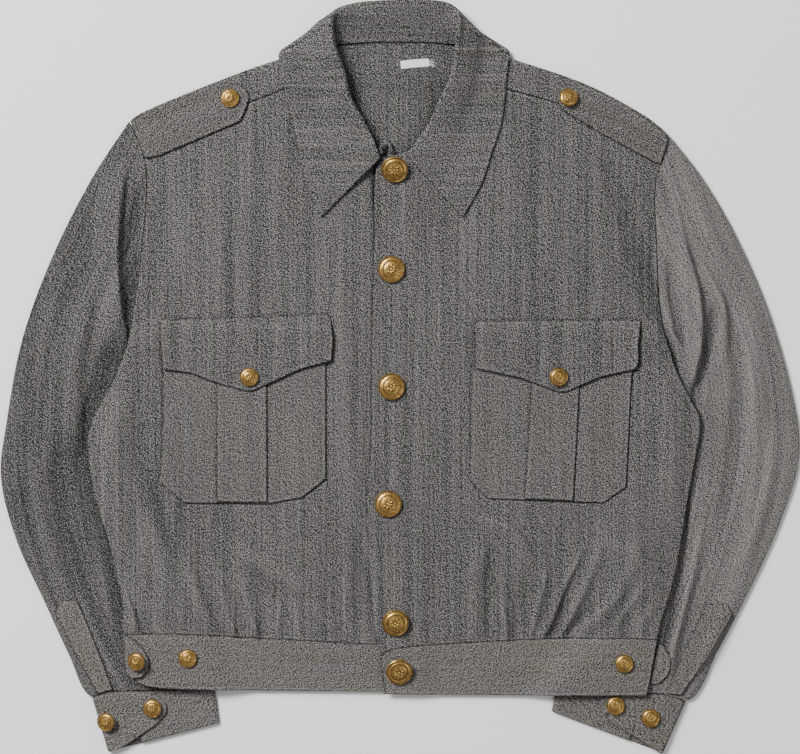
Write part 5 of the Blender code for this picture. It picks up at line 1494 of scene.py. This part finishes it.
def thread_tubes(name, rows, material, radius):
    """Loose threads: thin five-sided tubes along lines."""
    verts, faces = [], []
    ring = 5
    for row in rows:
        row = np.asarray(row)
        run = np.gradient(row, axis=0)
        first = len(verts)
        for k, (p, d) in enumerate(zip(row, run)):
            d = d / np.linalg.norm(d)
            side = np.cross(d, [0, 0, 1])
            side /= max(np.linalg.norm(side), 1e-6)
            up = np.cross(side, d)
            thin = radius * (0.5 if k in (0, len(row) - 1) else 1.0)
            for j in range(ring):
                angle = 2 * math.pi * j / ring
                verts.append(p + (side * math.cos(angle) + up * math.sin(angle)) * thin)
        for k in range(len(row) - 1):
            for j in range(ring):
                n = (j + 1) % ring
                low, high = first + k * ring, first + (k + 1) * ring
                faces.append((low + j, high + j, high + n, low + n))
        faces.append(tuple(first + j for j in range(ring)))
        faces.append(tuple(first + (len(row) - 1) * ring + j for j in reversed(range(ring))))
    verts = np.array(verts)
    return make_piece(name, verts, faces, verts[:, :2], np.full(len(verts), 5.0), material)


def pocket_heights(side):
    """The undersides of the pouch, its pleat and its flap."""
    base = front_under(side)

    def pouch(x, y):
        return base(x, y) + CLOTH + LAY_GAP

    def pleat(x, y):
        return base(x, y) + 2 * CLOTH + 2 * LAY_GAP

    def flap(x, y):
        step = (CLOTH + PLEAT_WALL + 2 * LAY_GAP) * ease(y, 52, 43)
        return base(x, y) + CLOTH + LAY_GAP + step

    return pouch, pleat, flap


class JACKET_OT_pockets(bpy.types.Operator):
    """Lays the chest pockets: pouch, box pleat and pointed flap."""

    bl_idname = "jacket.pockets"
    bl_label = "Chest pockets"

    def execute(self, context):
        for side in ("right", "left"):
            pouch, pleat, flap = pocket_heights(side)
            material = cloth_material("Pocket cloth", tone=0.31, fleck=3.0, streak=0.26, wear=0.14,
                                      warmth=0.5)
            piece = lay_cloth(f"pocket_{side}", cornered(POUCH[side], 2.6, 1.5), pouch, material,
                              spacing=3.2, stitch=2.6, shift=(80, 7), seed=41,
                              covers=[cornered(PLEAT[side], 2.0), cornered(FLAP[side], 2.0, 1.2)])
            declare(f"pocket_{side}")
            piece = lay_cloth(f"pocket_pleat_{side}", cornered(PLEAT[side], 2.6), pleat, material,
                              wall=PLEAT_WALL, spacing=3.2, shift=(190, 77), seed=42,
                              covers=[cornered(FLAP[side], 2.0, 1.2)])
            declare(f"pocket_pleat_{side}")
            piece = lay_cloth(f"pocket_flap_{side}", cornered(FLAP[side], 2.2, 1.2), flap,
                              cloth_material("Flap cloth", tone=0.135, fleck=4.2, streak=0.64, wear=0.18),
                              spacing=2.8, stitch=5.5, shift=(260, 19), seed=43)
            declare(f"pocket_flap_{side}")
        return {"FINISHED"}


def strap_under(x, y):
    """The underside of a shoulder strap."""
    return upper_under(x, y) + CLOTH + LAY_GAP + 0.2


def band_material(name="Band cloth", tone=0.42):
    """The pressed, lighter cloth of the waistband, straps and cuffs."""
    return cloth_material(name, tone=tone, fleck=3.0, streak=0.20, wear=0.14, warmth=0.75)


class JACKET_OT_straps(bpy.types.Operator):
    """Lays the two shoulder straps."""

    bl_idname = "jacket.straps"
    bl_label = "Shoulder straps"

    def execute(self, context):
        for side in ("right", "left"):
            grain = -67 if side == "right" else 65
            piece = lay_cloth(f"epaulette_{side}", cornered(EPAULETTE[side], 2.4, 3.0), strap_under,
                              band_material("Strap cloth", 0.27), wall=BAND, spacing=2.6, stitch=4.5,
                              grain=grain, seed=51, pucker=0.18)
            declare(f"epaulette_{side}")
        return {"FINISHED"}


def band_under(side):
    """The underside of a front waistband."""
    def height(x, y):
        lap = centre_lap(x, BAND) if side == "left" else 0.0
        return back_under(x, y) + BAND + LAY_GAP + FOLD_LOFT + lap
    return height


def tab_under(side):
    """The underside of a side tab: on the band at the right, on the sleeve at the left."""
    if side == "right":
        return lambda x, y: band_under("right")(x, y) + BAND + LAY_GAP + 0.6
    return on_sleeve("left", 2 * LAY_GAP)


def on_sleeve(side, gap):
    """A height that lies over a sleeve's upper side by a gap."""
    def height(x, y):
        folds = sleeve_folds(side, np.asarray(x, float), np.asarray(y, float))
        return SLEEVE_HEIGHT + gap + np.maximum(0.0, folds)
    return height


def band_loop(side):
    """The outline of one front waistband."""
    edge = [(12, -251), (12, -293)] if side == "right" else [(-17, -259), (-16, -275), (-13, -293)]
    return outline(*(curve(line, 3) for line in (WAIST[side], edge, BAND_HEM[side], BAND_END[side])))


class JACKET_OT_waistband(bpy.types.Operator):
    """Lays the waistband and its two adjusting tabs."""

    bl_idname = "jacket.waistband"
    bl_label = "Waistband and tabs"

    def execute(self, context):
        back_loop = outline(
            curve([(-257, -241), (-100, -248), (0, -250), (100, -249), (238, -246)], 3),
            curve([(238, -246), (231, -282), (228, -294)], 3),
            curve([(228, -294), (100, -294), (-93, -291), (-172, -290), (-220, -288), (-242, -283)], 3),
            curve([(-242, -283), (-252, -272), (-257, -241)], 3))
        piece = lay_cloth("waistband_back", back_loop, back_under, band_material(), wall=BAND, spacing=4.0,
                          grain=90, shift=(0, 33))
        declare("waistband_back")
        for side in ("right", "left"):
            covers = [cornered(SIDE_TAB["right"], 1.6, 2.0), band_loop("left")] if side == "right" else []
            piece = lay_cloth(f"waistband_front_{side}", band_loop(side), band_under(side), band_material(),
                              wall=BAND, spacing=2.8, stitch=3.0, grain=90, shift=(0, 90), seed=61,
                              pucker=0.2, covers=covers)
            rests = ["waistband_back_cloth"]
            if side == "left":
                rests.append("waistband_front_right_cloth")
            declare(f"waistband_front_{side}")
        for side in ("right", "left"):
            wall = BAND if side == "right" else CLOTH
            piece = lay_cloth(f"waist_tab_{side}", cornered(SIDE_TAB[side], 1.6, 2.0), tab_under(side),
                              band_material(), wall=wall, spacing=1.8, stitch=3.4, shift=(44, 51), seed=62)
            rests = "waistband_front_right_cloth" if side == "right" else "sleeve_left_cloth"
            declare(f"waist_tab_{side}")
        return {"FINISHED"}


class JACKET_OT_plackets(bpy.types.Operator):
    """Lays the sleeve plackets above the cuffs."""

    bl_idname = "jacket.plackets"
    bl_label = "Sleeve plackets"

    def execute(self, context):
        for side in ("right", "left"):
            grain = -28 if side == "left" else 26
            piece = lay_cloth(f"sleeve_placket_{side}", cornered(SLEEVE_PLACKET[side], 2.0, 1.5),
                              on_sleeve(side, 1.5 * LAY_GAP), band_material(), spacing=2.4, stitch=3.0,
                              grain=grain, shift=(20, 300), seed=71)
            declare(f"sleeve_placket_{side}")
        return {"FINISHED"}


def cuff_grid(side):
    """A cuff's middle surface, wound once round the wrist, and the row where its rounded flap starts."""
    low, middle, high = (BAND / 2 + n * (BAND + SEAM_GAP) for n in range(3))
    top, hem = CUFF_TOP[side], np.array(CUFF_HEM[side], float)
    turn = 0.018
    path = np.array([(0.30, middle), (0.302, middle), (0.307, middle), (0.35, middle), (0.45, middle),
                     (0.55, middle), (0.65, middle), (0.75, middle), (0.85, middle), (0.93, middle),
                     (1 - turn, middle), (1 - turn * 0.35, (low + 3 * middle) / 4), (1.0, (low + middle) / 2),
                     (1 - turn * 0.35, (3 * low + middle) / 4), (1 - turn, low), (0.75, low), (0.5, low),
                     (0.25, low), (turn, low), (turn * 0.3, (low + middle) / 2), (0.0, middle - 0.3)])
    across_cloth = close_rows(20, (0.0, 0.7, 1.8))
    rows = []
    for across, z in path:
        upper_x = top[0][0] + (top[-1][0] - top[0][0]) * across
        upper = np.array([upper_x, float(line_height(top, upper_x))])
        lower = hem[0] + (hem[1] - hem[0]) * across
        flat = upper + (lower - upper) * across_cloth[:, None]
        rows.append(np.column_stack([flat, np.full(len(flat), z)]))
    for row in blend(CUFF_FLAP[side], close_rows(34, (0.0, 0.6, 1.6)) * (len(CUFF_FLAP[side]) - 1)):
        upper, lower = row[:2], row[2:]
        flat = upper + (lower - upper) * across_cloth[:, None]
        z = high + 0.18 * ripple(flat[:, 0], flat[:, 1], 17, 77)
        rows.append(np.column_stack([flat, z]))
    return np.array(rows), len(path)


class JACKET_OT_cuffs(bpy.types.Operator):
    """Winds both cuffs and laps their rounded ends over."""

    bl_idname = "jacket.cuffs"
    bl_label = "Cuffs"

    def execute(self, context):
        for side in ("right", "left"):
            grid, _ = cuff_grid(side)
            u, v, edge = grid_measures(grid)
            if side == "left":
                grid, u, v, edge = grid[::-1], u[::-1], v[::-1], edge[::-1]
            uv = np.dstack([u + 3100, v + (90 if side == "left" else 0)])
            piece = shell(f"cuff_{side}_cloth", grid, BAND - 0.1, uv, edge, band_material())
            declare(f"cuff_{side}")
        return {"FINISHED"}


def layer_top(layer, x):
    """The upper surface of the layer that a button is sewn on or a buttonhole is cut in."""
    side = "right" if x < -20 else "left"
    if layer == "cuff":
        return even(3 * BAND + 2 * SEAM_GAP)
    under, wall = {
        "over": (front_under("left"), CLOTH),
        "flap": (pocket_heights(side)[2], CLOTH),
        "epaulette": (strap_under, BAND),
        "tab": (tab_under("right"), BAND),
        "band": (band_under(side), BAND),
    }[layer]
    return lambda x, y: under(x, y) + wall


def button_level(spec):
    """The height of the cloth at a button."""
    return float(layer_top(spec.on, spec.x)(np.array([float(spec.x)]), np.array([float(spec.y)]))[0])


def clear_selection():
    """Deselects everything, as a fresh start for modelling."""
    for thing in list(bpy.context.selected_objects):
        thing.select_set(False)


def select_faces(mesh, test):
    """In edit mode's data, selects the faces that pass a test."""
    bpy.ops.mesh.select_all(action="DESELECT")
    bpy.ops.object.mode_set(mode="OBJECT")
    for face in mesh.polygons:
        face.select = bool(test(face))
    bpy.ops.object.mode_set(mode="EDIT")


def model_button():
    """One domed button of radius 1 with a rolled rim, two rings and a rosette, modelled at the origin."""
    clear_selection()
    bpy.ops.mesh.primitive_cylinder_add(vertices=56, radius=1.0, depth=0.10, location=(0, 0, 0.05))
    disc = bpy.context.active_object
    disc.name = "button_pattern"
    bpy.ops.object.mode_set(mode="EDIT")
    bpy.ops.mesh.select_mode(type="FACE")
    mesh = disc.data
    for width, rise in ((0.06, 0.045), (0.05, -0.05), (0.09, 0.035), (0.08, 0.03), (0.04, 0.035),
                        (0.045, -0.03), (0.10, 0.035), (0.14, 0.03), (0.16, 0.02), (0.12, 0.01)):
        select_faces(mesh, lambda face: face.normal.z > 0.9 and len(face.vertices) > 12)
        bpy.ops.mesh.inset(thickness=width, depth=0)
        bpy.ops.transform.translate(value=(0, 0, rise))
    select_faces(mesh, lambda face: face.normal.z < -0.9 and len(face.vertices) > 12)
    bpy.ops.mesh.inset(thickness=0.10, depth=0)
    bpy.ops.mesh.inset(thickness=0.70, depth=0)
    bpy.ops.mesh.extrude_region_move(TRANSFORM_OT_translate={"value": (0, 0, -0.16)})
    bpy.ops.object.mode_set(mode="OBJECT")
    petals = []
    for k in range(8):
        angle = 2 * math.pi * k / 8
        clear_selection()
        bpy.ops.mesh.primitive_uv_sphere_add(
            segments=10, ring_count=6, radius=0.13, rotation=(0, 0, angle),
            location=(0.27 * math.cos(angle), 0.27 * math.sin(angle), 0.335))
        petal = bpy.context.active_object
        petal.scale = (1.35, 0.72, 0.42)
        petals.append(petal)
    clear_selection()
    bpy.ops.mesh.primitive_uv_sphere_add(segments=12, ring_count=8, radius=0.12, location=(0, 0, 0.36))
    bpy.context.active_object.scale = (1, 1, 0.55)
    petals.append(bpy.context.active_object)
    for k in range(24):
        angle = 2 * math.pi * k / 24
        clear_selection()
        bpy.ops.mesh.primitive_ico_sphere_add(
            subdivisions=1, radius=0.042,
            location=(0.615 * math.cos(angle), 0.615 * math.sin(angle), 0.235))
        petals.append(bpy.context.active_object)
    clear_selection()
    for part in petals:
        part.select_set(True)
    disc.select_set(True)
    bpy.context.view_layer.objects.active = disc
    bpy.ops.object.join()
    bpy.ops.object.transform_apply(location=True, rotation=True, scale=True)
    rounded = disc.modifiers.new("rounded", "BEVEL")
    rounded.width = 0.012
    rounded.segments = 1
    rounded.limit_method = "ANGLE"
    rounded.angle_limit = math.radians(38)
    bpy.ops.object.modifier_apply(modifier=rounded.name)
    bpy.ops.object.shade_smooth_by_angle(angle=math.radians(40))
    clear_selection()
    return disc


class JACKET_OT_buttons(bpy.types.Operator):
    """Models one stamped brass button and sews a copy on at each place."""

    bl_idname = "jacket.buttons"
    bl_label = "Buttons"

    def execute(self, context):
        pattern = model_button()
        base = np.zeros(len(pattern.data.vertices) * 3)
        pattern.data.vertices.foreach_get("co", base)
        base = base.reshape(-1, 3)
        for order, spec in enumerate(BUTTONS):
            tip = math.radians(spec.tip)
            shank = 1.2 + (spec.radius - SHANK_RADIUS) * math.tan(tip)
            lean = (Matrix.Rotation(math.radians(spec.towards), 4, "Z") @ Matrix.Rotation(tip, 4, "Y"))
            spun = lean @ Matrix.Rotation(0.7 * order, 4, "Z")
            foot = lean @ Vector((0, 0, -shank))
            drop = SHANK_RADIUS * math.sin(tip)
            place = Vector((spec.x, spec.y, button_level(spec) + LAY_GAP + drop)) - foot
            local = base * spec.radius
            below = base[:, 2] < -0.01
            local[below, 2] = -shank
            turned = local @ np.array(spun.to_3x3()).T + np.array(place)
            data = pattern.data.copy()
            data.name = spec.name + "_brass"
            data.vertices.foreach_set("co", (turned * MM).ravel())
            while data.uv_layers:
                data.uv_layers.remove(data.uv_layers[0])
            layer = data.uv_layers.new(name="cloth")
            corner = np.zeros(len(data.loops), np.int32)
            data.loops.foreach_get("vertex_index", corner)
            layer.data.foreach_set("uv", base[corner, :2].astype(np.float32).ravel())
            data.materials.clear()
            data.materials.append(brass_material())
            data.update()
            piece = bpy.data.objects.new(spec.name + "_brass", data)
            context.scene.collection.objects.link(piece)
            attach(piece, "root")
            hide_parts(spec.name)
        bpy.data.objects.remove(pattern)
        return {"FINISHED"}


# Buttonholes: where each starts and ends, and the layer it is cut in
Hole = namedtuple("Hole", "x0 y0 x1 y1 layer")
HOLES = [
    Hole(4, 100, 15, 100, "over"),
    Hole(4, -9, 15, -10, "over"),
    Hole(1, -118, 13, -118, "over"),
    Hole(8, -228, 17, -228, "over"),
    Hole(11, -272, 20, -273, "band"),
    Hole(-149, 8, -149, 13, "flap"),
    Hole(-253, -260, -248, -261, "tab"),
    Hole(-282, -318, -276, -318.5, "cuff"),
    Hole(-243, -307, -236, -307, "cuff"),
    Hole(239, -320, 246, -324, "cuff"),
]


class JACKET_OT_buttonholes(bpy.types.Operator):
    """Works the buttonholes: a dark slit between two raised rows of thread."""

    bl_idname = "jacket.buttonholes"
    bl_label = "Buttonholes"

    def execute(self, context):
        slits, cords = [], []
        for hole in HOLES:
            top = layer_top(hole.layer, hole.x0)
            line = resample([(hole.x0, hole.y0), (hole.x1, hole.y1)], 1.0)
            d = line[-1] - line[0]
            d /= np.linalg.norm(d)
            side = np.array([-d[1], d[0]])
            slits.append(np.column_stack([line, top(line[:, 0], line[:, 1]) + 0.02]))
            for sign in (-1, 1):
                edge = line + side * sign * 0.62
                cords.append(np.column_stack([edge, top(edge[:, 0], edge[:, 1]) + 0.02]))
        dark = plain_material("Shadowed slit", (0.006, 0.006, 0.007), (0.02, 0.02, 0.022), 600)
        thread_tubes("buttonhole_slits", slits, dark, 0.34)
        thread_tubes("buttonhole_cords", cords, thread_material(), 0.34)
        return {"FINISHED"}


def seam_line(loop, distance):
    """A loop drawn in by a distance, as a closed line."""
    line = inset(resample(np.vstack([loop, loop[:1]]), 1.5)[:-1], SEAM_GAP / 2 + distance)
    far = distance_to(line[:, 0], line[:, 1], loop, closed=True)
    line = line[far > 0.93 * distance]
    return np.vstack([line, line[:1]])


class JACKET_OT_stitching(bpy.types.Operator):
    """Sews the visible rows of topstitching."""

    bl_idname = "jacket.stitching"
    bl_label = "Topstitching"

    def execute(self, context):
        groups = {}
        for side in ("right", "left"):
            pouch, _, flap = pocket_heights(side)
            tab_wall = BAND if side == "right" else CLOTH
            for part, shape, step, rounding, distance, under, wall in (
                    ("pocket", POUCH, 2.6, 1.5, 2.6, pouch, CLOTH),
                    ("pocket", FLAP, 2.2, 1.2, 5.5, flap, CLOTH),
                    ("strap", EPAULETTE, 2.4, 3.0, 4.5, strap_under, BAND),
                    ("placket", SLEEVE_PLACKET, 2.0, 1.5, 3.0, on_sleeve(side, 1.5 * LAY_GAP), CLOTH),
                    ("tab", SIDE_TAB, 1.6, 2.0, 3.4, tab_under(side), tab_wall)):
                line = resample(seam_line(cornered(shape[side], step, rounding), distance), 1.0)
                row = np.column_stack([line, under(line[:, 0], line[:, 1]) + wall - 0.2])
                groups.setdefault(f"{part}_stitches_{side}", []).append(row)
            grid, first = cuff_grid(side)
            flap_rows = grid[first:]
            inner = flap_rows[2:-4]
            cuff_rows = []
            for share in (3.2 / 50, 1 - 3.2 / 50):
                place = share * (inner.shape[1] - 1)
                i = int(place)
                cuff_rows.append(inner[:, i] + (inner[:, i + 1] - inner[:, i]) * (place - i))
            cuff_rows.append(flap_rows[-5, 3:-3])
            groups[f"cuff_stitches_{side}"] = [row + (0, 0, BAND / 2 - 0.05) for row in cuff_rows]
        for name, rows in groups.items():
            piece = stitched(name, rows, thread_material(), context.scene.jacket.stitch_pitch)
        return {"FINISHED"}


class JACKET_OT_stage(bpy.types.Operator):
    """Sets the pale floor, the soft light and the camera straight above."""

    bl_idname = "jacket.stage"
    bl_label = "Floor, light and camera"

    def execute(self, context):
        clear_selection()
        bpy.ops.mesh.primitive_plane_add(size=6.0, location=(0, 0, -0.0006))
        floor = context.active_object
        floor.name = "floor"
        material, _, _ = new_material("Pale floor", Roughness=0.9, Base_Color=(0.93, 0.93, 0.93, 1))
        floor.data.materials.append(material)
        world = context.scene.world or bpy.data.worlds.new("Studio")
        context.scene.world = world
        world.use_nodes = True
        nodes = world.node_tree.nodes
        sky = nodes.get("Background") or nodes.new("ShaderNodeBackground")
        sky.inputs["Color"].default_value = (1, 1, 1, 1)
        sky.inputs["Strength"].default_value = 0.33
        for name, place, size, power in (
                ("key", (-1.75, 1.6, 2.5), 1.3, context.scene.jacket.key_power),
                ("fill", (1.6, -0.8, 2.0), 1.6, context.scene.jacket.key_power * 0.05)):
            lamp = bpy.data.lights.new(name, "AREA")
            lamp.energy = power
            lamp.size = size
            light = bpy.data.objects.new(name, lamp)
            light.location = place
            light.rotation_euler = (-Vector(place)).to_track_quat("-Z", "Y").to_euler()
            context.scene.collection.objects.link(light)
        lens = bpy.data.cameras.new("above")
        distance = 3.0
        lens.sensor_width = 36.0
        lens.lens = lens.sensor_width * distance / VIEW_WIDTH
        lens.clip_end = 20
        camera = bpy.data.objects.new("above", lens)
        camera.location = (0, 0, distance + 0.006)
        context.scene.collection.objects.link(camera)
        context.scene.camera = camera
        return {"FINISHED"}


class JACKET_PT_panel(bpy.types.Panel):
    """Lists the steps of dressing the jacket."""

    bl_idname = "JACKET_PT_panel"
    bl_label = "Jacket"
    bl_space_type = "VIEW_3D"
    bl_region_type = "UI"
    bl_category = "Jacket"

    def draw(self, context):
        layout = self.layout
        for key in JacketSettings.__annotations__:
            layout.prop(context.scene.jacket, key)
        for step in STEPS:
            layout.operator(step.bl_idname)


STEPS = (
    JACKET_OT_back, JACKET_OT_fronts, JACKET_OT_yokes, JACKET_OT_sleeves, JACKET_OT_collar, JACKET_OT_neck,
    JACKET_OT_pockets, JACKET_OT_straps, JACKET_OT_waistband, JACKET_OT_plackets, JACKET_OT_cuffs,
    JACKET_OT_buttons, JACKET_OT_buttonholes, JACKET_OT_stitching, JACKET_OT_stage,
)


def register():
    """Registers the settings, the steps and the panel."""
    bpy.utils.register_class(JacketSettings)
    bpy.types.Scene.jacket = bpy.props.PointerProperty(type=JacketSettings)
    for step in STEPS:
        bpy.utils.register_class(step)
    bpy.utils.register_class(JACKET_PT_panel)


def unregister():
    """Takes them out again."""
    bpy.utils.unregister_class(JACKET_PT_panel)
    for step in reversed(STEPS):
        bpy.utils.unregister_class(step)
    del bpy.types.Scene.jacket
    bpy.utils.unregister_class(JacketSettings)


def main():
    """Registers the steps and runs every step in order."""
    register()
    for step in STEPS:
        group, name = step.bl_idname.split(".")
        getattr(getattr(bpy.ops, group), name)()


if __name__ == "__main__":
    main()
